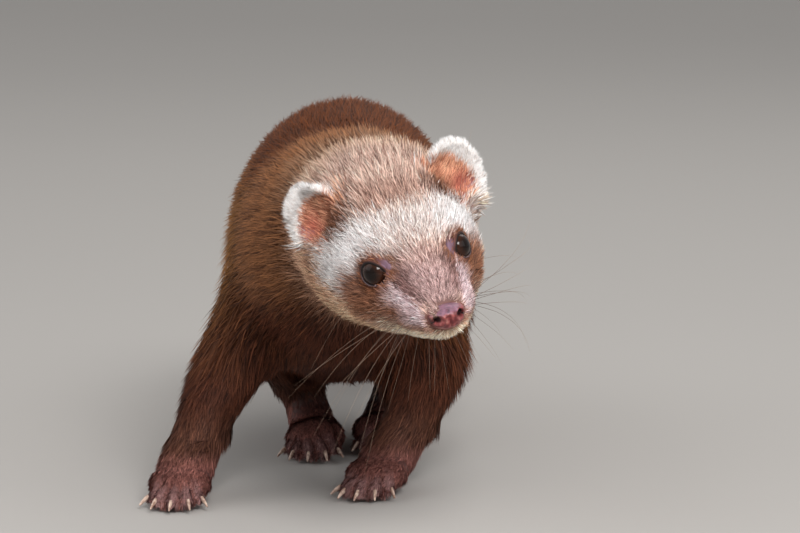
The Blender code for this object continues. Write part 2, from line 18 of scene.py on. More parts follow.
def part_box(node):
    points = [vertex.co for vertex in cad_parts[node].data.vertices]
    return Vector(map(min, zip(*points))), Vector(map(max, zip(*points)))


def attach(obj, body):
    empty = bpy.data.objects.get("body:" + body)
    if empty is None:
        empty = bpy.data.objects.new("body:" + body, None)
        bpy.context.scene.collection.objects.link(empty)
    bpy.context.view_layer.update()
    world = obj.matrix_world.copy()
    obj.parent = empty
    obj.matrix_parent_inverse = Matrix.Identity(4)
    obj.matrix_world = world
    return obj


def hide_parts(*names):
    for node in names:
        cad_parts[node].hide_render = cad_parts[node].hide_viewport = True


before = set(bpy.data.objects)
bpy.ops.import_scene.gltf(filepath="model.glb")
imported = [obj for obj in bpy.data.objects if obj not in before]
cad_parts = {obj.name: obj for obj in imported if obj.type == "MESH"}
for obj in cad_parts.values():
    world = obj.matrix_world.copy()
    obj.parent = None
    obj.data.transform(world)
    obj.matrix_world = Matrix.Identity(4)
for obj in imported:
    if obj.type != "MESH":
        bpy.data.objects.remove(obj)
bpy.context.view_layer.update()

bl_info = {
    "name": "Ferret looks",
    "version": (1, 0, 0),
    "blender": (4, 5, 0),
    "location": "View3D > Sidebar > Ferret",
    "description": "Skin, coat, face and stage of a standing ferret",
    "category": "Object",
}

MM = 0.001
BODY = "root"
FLESH = (
    "head", "neck", "chest", "abdomen", "tail_base", "tail_middle", "tail_end",
    "foreleg_right_upper", "foreleg_right_lower", "forepaw_right",
    "foreleg_left_upper", "foreleg_left_lower", "forepaw_left",
    "hindleg_right", "hindpaw_right", "hindleg_left", "hindpaw_left",
    "ear_right", "ear_left",
)
PLUGS = ("eye_right", "eye_left", "nose")      # they fill the sockets under the skin
PAWS = ("fore_right", "fore_left", "hind_right", "hind_left")

# The head's own axes: x to its left, y back from the nose, z up.
NOSE_TIP = np.array((39.8, -212.0, 69.8))
HEAD_YAW, HEAD_PITCH, HEAD_ROLL = 16.9, 13.2, 16.1
# Ears in the head's axes: base, way the flap points, way its hollow faces.
EARS = (
    ((-18.4, 49.0, 12.6), (-0.38, 0.22, 0.90), (-0.42, -0.88, 0.05)),
    ((19.2, 49.0, 12.9), (0.36, 0.22, 0.91), (0.10, -0.96, 0.10)),
)
EAR_HEIGHT = 15.6
EAR_HALF_WIDTH = 9.8
EYE = np.array((11.7, 26.2, 8.0))              # the left eye's centre; x turns for the right
EYE_RADIUS = 4.05
EYE_OUTWARD = np.array((0.665, -0.695, 0.25))

# Bones that the coat is combed along: radius of the flesh, then points.
BONES = {
    "spine": (40.0, (
        (20, -146, 86), (13, -115, 82), (9, -75, 73), (9, -2, 68), (9, 45, 64), (10, 78, 56))),
    "tail": (13.0, (
        (10, 78, 56), (12, 114, 36), (13, 137, 25), (11, 163, 19), (7, 187, 19), (-1, 215, 21))),
    "fore_right": (15.0, (
        (-9, -81, 74), (-22, -80, 46), (-30, -87, 29), (-39, -103, 9), (-41, -130, 3))),
    "fore_left": (15.0, ((26, -79, 74), (35, -73, 46), (34, -75, 29), (22, -85, 9), (14, -111, 3))),
    "thigh_right": (20.0, ((1, 55, 68), (-11, 33, 52), (-13, 0, 34), (-9, 12, 24))),
    "thigh_left": (20.0, ((17, 67, 68), (29, 45, 52), (31, 12, 34), (27, 24, 24))),
    "hind_right": (9.0, ((-9, 12, 24), (-4, 21, 16), (-2, -3, 8), (-1, -22, 5), (-3, -46, 3))),
    "hind_left": (9.0, ((27, 24, 24), (22, 33, 16), (20, 9, 8), (20, -10, 5), (21, -36, 3))),
}
LEGS = (("fore_right",), ("fore_left",), ("thigh_right", "hind_right"), ("thigh_left", "hind_left"))

# The coat by region: depth of skin under the solid, length, width, lift in degrees,
# tufts per square millimetre, size of a clump, bend towards the skin.
COAT = {
    "muzzle": (0.8, 2.6, 0.18, 13.0, 14.0, 0.8, 0.4),
    "face": (1.6, 4.8, 0.22, 17.0, 8.6, 1.4, 0.5),
    "crown": (3.3, 8.8, 0.26, 28.0, 5.8, 2.4, 0.5),
    "cheek": (3.2, 8.0, 0.26, 23.0, 6.4, 2.1, 0.7),
    "ear_rim": (0.3, 2.7, 0.19, 28.0, 26.0, 1.0, 0.2),
    "ear_back": (0.5, 3.4, 0.22, 14.0, 10.0, 1.0, 0.5),
    "ear_hollow": (0.6, 3.0, 0.17, 18.0, 16.0, 1.2, 0.3),
    "neck": (4.8, 13.5, 0.36, 27.0, 4.4, 3.0, 0.8),
    "trunk": (5.2, 16.0, 0.38, 20.0, 3.0, 4.4, 0.9),
    "belly": (4.4, 13.0, 0.40, 18.0, 2.2, 4.0, 0.9),
    "tail": (5.6, 17.0, 0.36, 26.0, 4.2, 3.6, 0.8),
    "leg": (2.6, 7.5, 0.30, 14.0, 4.8, 2.2, 0.8),
    "paw": (0.8, 3.4, 0.25, 13.0, 8.0, 1.2, 0.5),
}
DEPTH, LENGTH, WIDTH, LIFT, DENSITY, CLUMP, BEND = range(7)

# The two kinds of layer: rows and triangles in a tuft, factors on the coat's length, width and
# lift, and the share of dark hairs.
LAYERS = {
    "under": dict(rows=2, triangles=1, length=0.78, width=0.9, lift=0.7, dark=0.10),
    "guard": dict(rows=3, triangles=3, length=1.0, width=1.0, lift=1.05, dark=0.20),
}
PATCH = 0.003                                  # side of a tuft's patch on the coat's unwrap

# Lines drawn on both sides of the face: distance from the middle, back and up. The mouth runs
# from the middle to its corner, the furrow beside the bridge of the nose from back to front.
MOUTH = np.array((
    (0.0, 1.6, -5.0), (2.0, 1.9, -4.7), (4.0, 3.0, -4.5), (6.6, 4.6, -4.3), (9.0, 8.4, -4.5),
    (11.3, 13.1, -4.9), (12.8, 17.2, -5.4), (14.3, 21.5, -6.2),
))
FURROW = np.array((
    (9.6, 19.5, 8.6), (9.0, 16.5, 7.8), (8.0, 12.7, 6.5), (6.9, 9.2, 5.2), (5.9, 6.2, 3.6)))

# The opening of the lids in degrees from the eye's axis: its least, what both corners add and
# what the inner one adds more. Then, for the right and the left eye, how far the upper lid
# hangs and how far the opening is narrowed towards the nose.
LID_LEAST, LID_CORNERS, LID_INNER = 47.0, 13.5, 9.0
LID_SET = {-1: (6.0, 0.0), 1: (1.0, 7.0)}

CLAW_SHARE = 0.78                              # length of a claw as a share of its solid's
WHISKER_ROWS, WHISKER_SIDES = 12, 4

WORK = {}                                      # arrays handed from one operator to the next


# ---------------------------------------------------------------- small tools

def linear(hex_colour):
    """An sRGB hex colour as linear red, green and blue."""
    value = hex_colour.lstrip("#")
    out = []
    for k in (0, 2, 4):
        c = int(value[k:k + 2], 16) / 255
        out.append(c / 12.92 if c <= 0.04045 else ((c + 0.055) / 1.055) ** 2.4)
    return np.array(out)


def ramp(value, start, end):
    """A smooth step from 0 at start to 1 at end."""
    t = np.clip((value - start) / (end - start), 0.0, 1.0)
    return t * t * (3 - 2 * t)


def near(distance, reach):
    """1 at no distance, falling smoothly to 0 at the reach and beyond."""
    return ramp(distance, reach, 0.0)


def bell(value, middle, width):
    """A smooth hump: 1 at its middle, about a third at its width from there."""
    return np.exp(-((value - middle) / width) ** 2)


def unit(vectors):
    """The same ways, each one long."""
    size = np.linalg.norm(vectors, axis=-1, keepdims=True)
    return vectors / np.maximum(size, 1e-9)


def along_surface(vectors, normals):
    """Vectors with the part along the normals taken out."""
    return vectors - normals * np.sum(vectors * normals, axis=1)[:, None]


def blend(a, b, share):
    """From a to b by a share at each row."""
    return a + (b - a) * np.asarray(share)[..., None]


def layered(colour, *layers):
    """Colours with hex colours laid over them one after another, each by its share."""
    for tint, share in layers:
        colour = blend(colour, linear(tint), share)
    return colour


def lattice(cells, seed):
    """A number from 0 to 1 for each whole-numbered cell, always the same."""
    c = cells.astype(np.int64).astype(np.uint64)
    h = c[..., 0] * np.uint64(73856093) ^ c[..., 1] * np.uint64(19349663)
    h ^= c[..., 2] * np.uint64(83492791) ^ np.uint64(seed * 2654435761 % 2 ** 32)
    h &= np.uint64(0xFFFFFFFF)
    for shift in (16, 15):
        h ^= h >> np.uint64(shift)
        h = h * np.uint64(2246822519) & np.uint64(0xFFFFFFFF)
    h ^= h >> np.uint64(13)
    return h.astype(np.float64) / 0xFFFFFFFF


def noise(points, size, seed):
    """Smooth value noise from 0 to 1, with lumps of the given size in millimetres."""
    p = points / size + 1000.0
    cell = np.floor(p)
    f = p - cell
    f = f * f * (3 - 2 * f)
    total = 0.0
    for i in (0, 1):
        for j in (0, 1):
            for k in (0, 1):
                share = np.ones(len(points))
                for axis, corner in enumerate((i, j, k)):
                    share = share * (f[:, axis] if corner else 1 - f[:, axis])
                total = total + share * lattice(cell + (i, j, k), seed)
    return total


def turn_about(axis, degrees):
    """A turn about a named axis, as a matrix."""
    return np.array(Matrix.Rotation(math.radians(degrees), 3, axis))


HEAD_AXES = turn_about("Z", HEAD_YAW) @ turn_about("X", HEAD_PITCH) @ turn_about("Y", -HEAD_ROLL)


def to_head(points):
    """Places in the head's axes, from places on the body."""
    return (points - NOSE_TIP) @ HEAD_AXES


def from_head(points):
    """Places on the body, from places in the head's axes."""
    return np.asarray(points) @ HEAD_AXES.T + NOSE_TIP


def round_head(h, outer, inner):
    """1 near the head's own axis, falling to 0 from the inner distance to the outer."""
    return ramp(np.hypot(h[:, 0], h[:, 2] - 2.0), outer, inner)


def head_share(h, body, head, outer=44, inner=36):
    """1 on the head and 0 on the body; body and head are distances back from the nose."""
    return ramp(h[:, 1], body, head) * round_head(h, outer, inner)


def folded(h):
    """Points in the head's axes, with the right half laid over the left."""
    return np.column_stack((np.abs(h[:, 0]), h[:, 1:]))


def ear_axes(ear):
    """Base, across, up and facing of an ear, in the head's axes."""
    base, up, facing = (np.array(v, float) for v in ear)
    up = unit(up)
    facing = unit(facing - up * (facing @ up))
    return base, np.cross(up, facing), up, facing


def eye_axes(side):
    """Centre, way to the inner corner, up and outward of an eye, in the head's axes."""
    mirror = np.array((side, 1.0, 1.0))
    outward = unit(EYE_OUTWARD * mirror)
    inner = np.array((-side * 0.62, -0.72, -0.30))
    inner = unit(inner - outward * (inner @ outward))
    up = np.cross(outward, inner) * -side
    return EYE * mirror, inner, up, outward


# ---------------------------------------------------------------- meshes as arrays

def mesh_arrays(mesh):
    """Corners in millimetres and triangles of a mesh."""
    co = np.empty(len(mesh.vertices) * 3, np.float32)
    mesh.vertices.foreach_get("co", co)
    mesh.calc_loop_triangles()
    tri = np.empty(len(mesh.loop_triangles) * 3, np.int32)
    mesh.loop_triangles.foreach_get("vertices", tri)
    return co.reshape(-1, 3).astype(float) / MM, tri.reshape(-1, 3)


def build_mesh(name, co, tri):
    """A mesh of triangles from arrays in millimetres, shaded smooth."""
    mesh = bpy.data.meshes.new(name)
    mesh.vertices.add(len(co))
    mesh.vertices.foreach_set("co", (co * MM).astype(np.float32).ravel())
    mesh.loops.add(tri.size)
    mesh.loops.foreach_set("vertex_index", tri.astype(np.int32).ravel())
    mesh.polygons.add(len(tri))
    mesh.polygons.foreach_set("loop_start", np.arange(0, tri.size, 3, dtype=np.int32))
    mesh.update(calc_edges=True)
    mesh.shade_smooth()
    return mesh


def add_piece(name, mesh):
    """Put a mesh in the scene as an object at the origin."""
    piece = bpy.data.objects.new(name, mesh)
    bpy.context.collection.objects.link(piece)
    return piece


def paint_corners(mesh, name, colours):
    """Store a colour at each vertex, for a material to read."""
    layer = mesh.color_attributes.new(name, "FLOAT_COLOR", "POINT")
    rgba = np.ones((len(colours), 4), np.float32)
    rgba[:, :3] = colours
    layer.data.foreach_set("color", rgba.ravel())


def vertex_normals(co, tri):
    """Unit normals at the corners, each the mean of its triangles' by area."""
    a, b, c = co[tri[:, 0]], co[tri[:, 1]], co[tri[:, 2]]
    face = np.cross(b - a, c - a)
    total = np.zeros_like(co)
    for k in range(3):
        for axis in range(3):
            total[:, axis] += np.bincount(tri[:, k], face[:, axis], len(co))
    return unit(total)


def edges_of(tri):
    """Each edge of the triangles once, as a pair of corners."""
    pairs = np.concatenate((tri[:, [0, 1]], tri[:, [1, 2]], tri[:, [2, 0]]))
    pairs.sort(axis=1)
    return np.unique(pairs, axis=0)


def even_out(values, edges, rounds, share=0.5):
    """Average each vertex's value with its neighbours', round after round.

    share may be one number or one for each vertex; 0 holds a vertex still.
    """
    values = np.asarray(values, float).copy()
    flat = values.ndim == 1
    if flat:
        values = values[:, None]
    a, b = edges.T
    count = np.bincount(edges.ravel(), minlength=len(values)).clip(1)
    share = np.broadcast_to(np.asarray(share, float), (len(values),))
    for _ in range(rounds):
        for axis in range(values.shape[1]):
            v = values[:, axis]
            total = np.bincount(a, v[b], len(v)) + np.bincount(b, v[a], len(v))
            values[:, axis] = v + share * (total / count - v)
    return values[:, 0] if flat else values


def select_only(thing):
    """Make an object the one selected and active."""
    bpy.ops.object.select_all(action="DESELECT")
    thing.select_set(True)
    bpy.context.view_layer.objects.active = thing


def apply_all(thing):
    """Apply an object's modifiers in their order."""
    select_only(thing)
    for modifier in list(thing.modifiers):
        bpy.ops.object.modifier_apply(modifier=modifier.name)


def voxel_net(thing, size):
    """Corners and triangles of an object remade as one even net; the object itself goes."""
    remesh = thing.modifiers.new("net", "REMESH")
    remesh.mode = "VOXEL"
    remesh.voxel_size = size * MM
    apply_all(thing)
    arrays = mesh_arrays(thing.data)
    mesh = thing.data
    bpy.data.objects.remove(thing)
    bpy.data.meshes.remove(mesh)
    return arrays


def welded_copy(node, grow=0.0):
    """A copy of a solid with its doubles merged, grown by a distance in millimetres."""
    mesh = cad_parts[node].data.copy()
    bm = bmesh.new()
    bm.from_mesh(mesh)
    bmesh.ops.remove_doubles(bm, verts=bm.verts, dist=0.00001)
    bm.normal_update()
    if grow:
        for vert in bm.verts:
            vert.co += vert.normal * grow * MM
    bm.to_mesh(mesh)
    bm.free()
    mesh.materials.clear()
    return add_piece("copy_" + node, mesh)


def joined(things, name):
    """Join objects with the join operator and give the result a name."""
    bpy.ops.object.select_all(action="DESELECT")
    for thing in things:
        thing.select_set(True)
    bpy.context.view_layer.objects.active = things[0]
    bpy.ops.object.join()
    result = bpy.context.view_layer.objects.active
    result.name = name
    return result


def refine(co, tri, chosen):
    """Split in four each triangle that has a chosen vertex."""
    mesh = build_mesh("refine", co, tri)
    bm = bmesh.new()
    bm.from_mesh(mesh)
    bm.verts.ensure_lookup_table()
    wanted = chosen[tri].any(axis=1)
    bm.faces.ensure_lookup_table()
    split = {edge for k in np.nonzero(wanted)[0] for edge in bm.faces[k].edges}
    bmesh.ops.subdivide_edges(bm, edges=list(split), cuts=1, use_grid_fill=True)
    bmesh.ops.triangulate(bm, faces=bm.faces)
    bm.to_mesh(mesh)
    bm.free()
    result = mesh_arrays(mesh)
    bpy.data.meshes.remove(mesh)
    return result


# ---------------------------------------------------------------- regions of the body

def bone_frames(points):
    """For each point: how near each bone is, in flesh radii, and the bones' directions."""
    closeness = {}
    ways = {}
    for name, (radius, line) in BONES.items():
        line = np.array(line, float)
        best = np.full(len(points), 1e9)
        way = np.zeros((len(points), 3))
        for start, end in zip(line, line[1:]):
            along = end - start
            t = np.clip(((points - start) @ along) / (along @ along), 0, 1)
            gap = np.linalg.norm(points - start - t[:, None] * along, axis=1)
            nearer = gap < best
            best = np.where(nearer, gap, best)
            way[nearer] = unit(along)
        closeness[name] = best / radius
        ways[name] = way
    return closeness, ways


def in_ear(head_points, ear):
    """Place in an ear: across in half widths, up in heights, and ahead in millimetres."""
    base, across, up, facing = ear_axes(ear)
    p = head_points - base
    return p @ across / EAR_HALF_WIDTH, p @ up / EAR_HEIGHT, p @ facing


def above_head(head_points):
    """Height of each point over the head's own solid, in millimetres; less than 0 inside it."""
    shape = WORK["head_shape"]
    out = np.empty(len(head_points))
    for k, point in enumerate(head_points):
        point = Vector(point)
        place, normal, _, _ = shape.find_nearest(point)
        out[k] = (point - place).dot(normal)
    return out


def ear_share(head_points):
    """How much a point belongs to either ear, and its place in that ear."""
    share = np.zeros(len(head_points))
    place = np.zeros((len(head_points), 3))
    for ear in EARS:
        u, v, w = in_ear(head_points, ear)
        here = ramp(v, -0.30, -0.10) * ramp(np.abs(u), 1.35, 1.2) * ramp(np.abs(w + 3.8), 7.0, 5.5)
        close = here > 0
        here[close] *= ramp(above_head(head_points[close]), 0.2, 1.6)
        take = here > share
        share = np.where(take, here, share)
        place[take] = np.stack((u, v, w), 1)[take]
    return share, place


def nearer_ear(head_points):
    """Place in the ear of a point's own side: inwards, up and facing."""
    place = np.zeros((3, len(head_points)))
    for side, ear in zip((-1, 1), EARS):
        u, v, w = in_ear(head_points, ear)
        mine = np.sign(head_points[:, 0]) == side
        place = np.where(mine, (u * -side, v, w), place)
    return place


def ear_bowl(head_points, facing):
    """The hollow of each ear, inside its white edge, with the part that runs down into the head."""
    u, v, w = nearer_ear(head_points)
    a, b = u - 0.12, v - 0.36
    b = b - 0.15 * a
    across = np.where(a > 0, 0.86 - 0.16 * ramp(v, 0.25, 0.55), 0.86)
    reach = np.hypot(a / across, b / np.where(b > 0, 0.42, 0.38))
    front = np.maximum(ramp(facing, -0.05, 0.3), ramp(w, -4.5, -3.2))
    return ramp(reach, 1.08, 0.92) * ramp(w, -9.5, -8.0) * ramp(w, 3.5, 1.5) * front


def ear_pit(head_points):
    """Where the head is hollowed in front of each ear's flap."""
    u, v, w = nearer_ear(head_points)
    pit = near(np.hypot(u / 0.85, (w + 1.6) / 4.8), 1.0) ** 0.5
    return pit * ramp(v, -0.8, -0.5) * ramp(v, 0.8, 0.6)


def bare_ear(h):
    """The bare pink place at the lower outer side of each ear's hollow."""
    u, v, w = nearer_ear(h)
    spot = np.hypot((u + 0.62) / 0.30, (v - 0.20) / 0.22)
    return near(spot, 1.0) * ramp(np.abs(w + 2.6), 4.5, 3.5)


def ear_facing(points, normals):
    """How far a surface turns the way its ear's hollow faces."""
    h = to_head(points)
    hn = normals @ HEAD_AXES
    return np.where(h[:, 0] < 0, hn @ ear_axes(EARS[0])[3], hn @ ear_axes(EARS[1])[3])


def regions(points, normals):
    """The share of each region of the coat at each point."""
    h = to_head(points)
    _, y, z = h.T
    head = head_share(h, 88, 66)
    ear, place = ear_share(h)
    ear = ramp(ear * head, 0.0, 0.5)
    facing = ear_facing(points, normals)
    bowl = ear_bowl(h, facing) * head
    flap = (ear - bowl).clip(0)
    back = ramp(facing, 0.1, -0.3) * ramp(place[:, 1], 0.9, 0.7)
    rest = head - np.maximum(ear, bowl)
    muzzle = ramp(y, 22, 12)
    crown = ramp(y, 30, 44) * ramp(z, 4, 12)
    cheek = ramp(y, 26, 42) * (1 - ramp(z, 4, 12))
    closeness, _ = bone_frames(points)
    legs = np.minimum.reduce([closeness[name] for names in LEGS for name in names])
    _, along, level = points.T
    tail = ramp(along, 92, 104)
    body = 1 - head
    left = body * (1 - tail)
    paw = ramp(level, 23, 8) * ramp(along, 60, 45)
    leg = ramp(legs, 1.45, 1.0) * ramp(level, 52, 30) * (1 - paw)
    trunk = left * (1 - paw) * (1 - leg)
    neck = ramp(along, -95, -118)
    belly = ramp(normals[:, 2], -0.3, -0.75) * (1 - tail)
    out = {
        "ear_hollow": bowl,
        "ear_rim": flap * (1 - back),
        "ear_back": flap * back,
        "muzzle": rest * muzzle,
        "crown": rest * (1 - muzzle) * crown,
        "cheek": rest * (1 - muzzle) * cheek,
        "face": rest * (1 - muzzle) * (1 - crown - cheek).clip(0),
        "tail": body * tail,
        "paw": left * paw,
        "leg": left * (1 - paw) * leg,
        "neck": trunk * neck,
        "belly": trunk * (1 - neck) * belly,
        "trunk": trunk * (1 - neck) * (1 - belly),
    }
    total = sum(out.values())
    return {name: share / np.maximum(total, 1e-6) for name, share in out.items()}


def mixed(shares, column):
    """A column of the coat table, mixed by the regions' shares."""
    return sum(share * COAT[name][column] for name, share in shares.items())


def lie_of_coat(points, normals, edges):
    """The unit direction along which the coat is combed, and how much it leaves the skin."""
    h = to_head(points)
    on_face = unit(h - (0.0, -3.0, -1.0))
    back = np.broadcast_to((0.0, 1.0, 0.0), h.shape)
    on_face = blend(on_face, back, 0.55 * ramp(h[:, 1], 30, 75))
    share, _ = ear_share(h)
    for side, ear in zip((-1, 1), EARS):
        _, across, up, facing = ear_axes(ear)
        u, v, _ = in_ear(h, ear)
        fan = up * (v + 0.3)[:, None] + across * (u * 0.9)[:, None]
        here = share * (np.sign(h[:, 0]) == side)
        on_face = blend(on_face, unit(unit(fan) - 0.35 * facing), here)
    on_face = on_face @ HEAD_AXES.T
    closeness, ways = bone_frames(points)
    on_body = np.zeros_like(points)
    for name, way in ways.items():
        on_body += way * np.exp(-3.0 * closeness[name] ** 2)[:, None]
    on_body = unit(on_body)
    # Gravity draws the coat of the sides down.
    sides = 1 - np.abs(normals[:, 2])
    on_body[:, 2] -= 0.28 * sides * ramp(closeness["spine"], 0.5, 0.9)
    way = unit(blend(on_body, on_face, head_share(h, 92, 66)))
    rise = even_out(np.sum(way * normals, axis=1), edges, 4)
    way = unit(along_surface(way, normals))
    way = even_out(way, edges, 10, 0.5 * ramp(points[:, 1], 185, 165) * (1 - share))
    return unit(along_surface(way, normals)), rise


# ---------------------------------------------------------------- markings and painted shade

TONES = {
    # name: (root, tip)
    "crown": ("#6E4539", "#E3C3B3"),
    "crown_front": ("#5A382E", "#C09684"),
    "nape": ("#6F4735", "#DEBC9D"),
    "band": ("#8C7068", "#FFFAF6"),
    "band_side": ("#C8BCBA", "#FFFFFF"),
    "patch": ("#3E2018", "#A06A4C"),
    "bridge": ("#694845", "#D2B2AE"),
    "bridge_side": ("#2E1712", "#6A403A"),
    "pad": ("#866468", "#EAD4D8"),
    "cheek": ("#7E4E38", "#F8CAAA"),
    "cheek_edge": ("#6E4E38", "#E0C2A0"),
    "behind": ("#6A4434", "#DDB090"),
    "lip": ("#B4866A", "#FFF4D8"),
    "ear_white": ("#DCD3CD", "#FFFFFF"),
    "ear_orange": ("#9C523A", "#F8BE9C"),
    # Dark hair of the ear, and painted shade inside its hollow.
    "ear_dark_hair_and_shade": ("#2A130C", "#66402C"),
    "ear_red": ("#7A322C", "#C06A58"),
    # The body's tones below are its rust and brown coat, darkened further by painted shade of a
    # body lying in shade; the lower legs carry the most.
    "neck": ("#402217", "#A06B44"),
    "back": ("#2E1105", "#70380C"),
    "flank": ("#4A2B11", "#AE7A40"),
    "dark": ("#1F100C", "#643928"),
    "tail": ("#3A2014", "#8A5632"),
    "tail_end": ("#20120C", "#5A3824"),
    "shank": ("#281511", "#6C4636"),
    "paw": ("#4A2A28", "#A06A60"),
    "toe": ("#573633", "#AF8986"),
}


def lay_body(lay, points, normals, y, wander):
    """Markings of the trunk, tail and legs, with painted shade under the body; y is the distance
    back in the head's axes.
    """
    _, along, level = points.T
    upward = normals[:, 2]
    legs = ramp(along, 66, 50)
    lay("flank", ramp(upward, 0.75, 0.15) * ramp(level, 40, 60) * 0.8)
    # Undersides facing down and the chest below the chin take the dark tone: partly the coat's own
    # dark, partly painted shade.
    under = ramp(level + 8 * wander, 62, 40) * ramp(upward, 0.45, -0.15)
    chest = ramp(along, -70, -100) * ramp(level + 8 * wander, 74, 56) * ramp(y, 72, 84)
    lay("neck", ramp(along, -70, -100))
    lay("dark", np.maximum(under, chest))
    lay("tail", ramp(along, 60, 110))
    lay("tail_end", ramp(along, 140, 185))
    lay("dark", ramp(level, 44, 30) * legs)
    lay("shank", ramp(level, 30, 18) * legs)
    lay("paw", ramp(level, 17, 9) * legs)
    lay("toe", toe_tops(points) * ramp(level, 12, 8) * legs)


def lay_face(lay, h, head, wander):
    """Markings of the head, from the crown forward to the lips."""
    x, y, z = h.T
    side = np.abs(x)
    lay("crown", head)
    lay("cheek", head * ramp(y, 24, 34) * ramp(z + 4 * wander, 6, -2))
    lay("behind", head * ramp(y, 44, 50) * ramp(z, 12, 6) * ramp(side, 16, 21))
    lay("cheek_edge", head * ramp(y, 22, 30) * ramp(z, -3, -11) * ramp(y, 60, 48))
    # A pale band crosses the brow, bends back at the sides and widens there.
    centre = 29.5 + 0.021 * side ** 2 + 4 * wander
    reach = np.where(y < centre, 7.5 - 1.5 * ramp(side, 8, 3), 7.5 + 3.2 * ramp(side, 8, 16))
    band = ramp(np.abs(y - centre) / reach, 1.35, 0.3) * ramp(z, -2, 5)
    lay("crown_front", head * near(np.abs(y - 43 + 4 * wander), 7.0)
        * ramp(side, 12, 6) * ramp(z, 6, 10) * 0.65)
    lay("band", head * band * (0.66 + 0.34 * ramp(side, 4, 11)))
    lay("band_side", head * band * ramp(side, 8, 14) * 0.8)
    # The bridge of the nose, and the dark along its sides.
    lay("bridge", head * ramp(y + 7 * wander, 26, 14) * ramp(side, 11, 8) * ramp(z, 1, 4))
    gap, share = line_gap(h, FURROW)
    inward = side < np.interp(y, FURROW[::-1, 1], FURROW[::-1, 0])
    wide = near(gap / (4.2 + 3.6 * ramp(y, 12, 19)), 1.0) ** 0.8 * inward
    line = np.maximum(wide, near(gap, 2.2))
    lay("bridge_side", head * line * ramp(y, 27, 22) * ramp(share, 1.2, 0.6) * 0.9 * ramp(z, 1, 3))
    # Brown round the eyes, reaching down to the corner of the mouth.
    for mirror in (-1, 1):
        centre, inner, up, outward = eye_axes(mirror)
        p = h - centre
        a, b = p @ inner, p @ up
        ring = ramp(np.hypot(a * 0.95, b * np.where(b > 0, 1.35, 1.0)) + 2.2 * wander, 8.8, 5.2)
        below = ramp(np.hypot((a + 2.5) / 1.25, (b + 8.0) / 1.1) + 3.0 * wander, 9.0, 4.5)
        patch = np.maximum(ring, 0.95 * below) * ramp(p @ outward, -8.0, -3.0)
        lay("patch", head * patch * (x * mirror > 3.5))
    pad = ramp(y + 2 * wander, 23, 16) * ramp(z, -4.5, -1) * ~inward
    lay("pad", head * pad * ramp(gap, 0.3, 1.2) * 0.9)
    lay("bridge_side", head * near(gap, 1.1) * ramp(y, 22, 19) * 0.9)
    corner = near(np.hypot((y - 18) * 0.36, z + 1.4 + 0.10 * (y - 19)) + 1.4 * wander, 4.4) ** 0.8
    lay("patch", head * corner * ramp(side, 5.5, 9) * ramp(y, 32, 24))
    lay("lip", head * ramp(y, 28, 18) * ramp(z, -3.6, -5.4))
    lay("lip", head * 0.7 * ramp(y, 46, 30) * ramp(z, -10, -15))
    mouth, share = line_gap(h - (0.0, 0.0, 1.1), MOUTH)
    lay("patch", head * near(mouth, 2.0) ** 0.7 * ramp(share, 0.0, 0.25) * 0.8)


def lay_ears(lay, h, head, facing, wander):
    """Markings of the ears: white edge, orange bowl, and the dark hair that crosses it, partly
    painted shade in the bowl.
    """
    ear, place = ear_share(h)
    ear = ramp(ear, 0.25, 0.7) * head
    lay("ear_white", ear)
    lay("crown", ear * ramp(facing, 0.1, -0.3) * ramp(place[:, 1], 0.85, 0.5))
    lay("cheek_edge", ear * ramp(place[:, 1] + 0.15 * wander, 0.22, 0.02) * 0.8)
    bowl = ear_bowl(h, facing) * head
    u, v, w = nearer_ear(h)
    lay("ear_orange", bowl)
    lay("ear_red", bowl * near(np.hypot((u + 0.32) / 0.5, (v - 0.26) / 0.36) + 0.4 * wander, 1.0))
    # Dark across the ear's bowl: partly dark hair, partly painted shade inside the hollow.
    dark_hair_and_shade = near(np.hypot((u - 0.58) / 0.86, (v - 0.12) / 0.50) + 0.7 * wander, 1.0) ** 0.6
    lay("ear_dark_hair_and_shade", head * dark_hair_and_shade * ramp(w, -8, -6) * ramp(w, 7, 4) * np.maximum(bowl, 1 - ear))


def tones(points, normals):
    """Root and tip colour of the coat at each point, in linear light."""
    h = to_head(points)
    _, y, z = h.T
    pairs = {name: [linear(c) for c in pair] for name, pair in TONES.items()}
    wander = noise(points, 5.0, 3) - 0.5
    wander_fine = noise(points, 1.6, 4) - 0.5
    roots, tips = (np.tile(tone, (len(points), 1)) for tone in pairs["back"])

    def lay(name, share):
        nonlocal roots, tips
        root, tip = pairs[name]
        roots, tips = blend(roots, root, share), blend(tips, tip, share)

    lay_body(lay, points, normals, y, wander)
    tube = round_head(h, 46, 38)
    lay("nape", ramp(y + 16 * wander, 106, 76) * tube * ramp(z, 0, 12) * 0.9)
    head = ramp(y + 10 * wander, 92, 58) * tube
    lay_face(lay, h, head, wander)
    lay_ears(lay, h, head, ear_facing(points, normals), wander)
    shade = (1 + 0.16 * wander + 0.20 * wander_fine)[:, None]
    return roots * shade, tips * shade


# ---------------------------------------------------------------- skin

def lid_opening(side, around):
    """Angle from an eye's axis to the edge of its lids, at each place round the eye."""
    droop, squint = LID_SET[side]
    narrow = droop * ramp(np.sin(around - 0.2), 0.1, 0.9) + squint * ramp(np.cos(around), -0.2, 0.8)
    wide = LID_LEAST + LID_CORNERS * np.cos(around) ** 2 + LID_INNER * bell(around, -0.10, 0.34)
    return np.radians(wide - narrow)


def lid_height(s, around):
    """Distance of the skin from the eye's centre; s is the distance outside the opening."""
    inside = EYE_RADIUS - 1.1
    rim = EYE_RADIUS + 0.36
    upper = ramp(np.sin(around - 0.25), -0.1, 0.7)
    lid = EYE_RADIUS + 0.52 + 0.12 * s.clip(0)
    lid = lid + (0.25 + 0.45 * upper) * bell(s, 2.3, 0.65)
    lid = lid - (0.25 + 0.35 * upper) * bell(s, 1.35, 0.35)
    height = np.where(s < -0.2, inside, inside + (rim - inside) * ramp(s, -0.2, 0.1))
    return np.where(s > 0.1, rim + (lid - rim) * ramp(s, 0.1, 0.7), height)


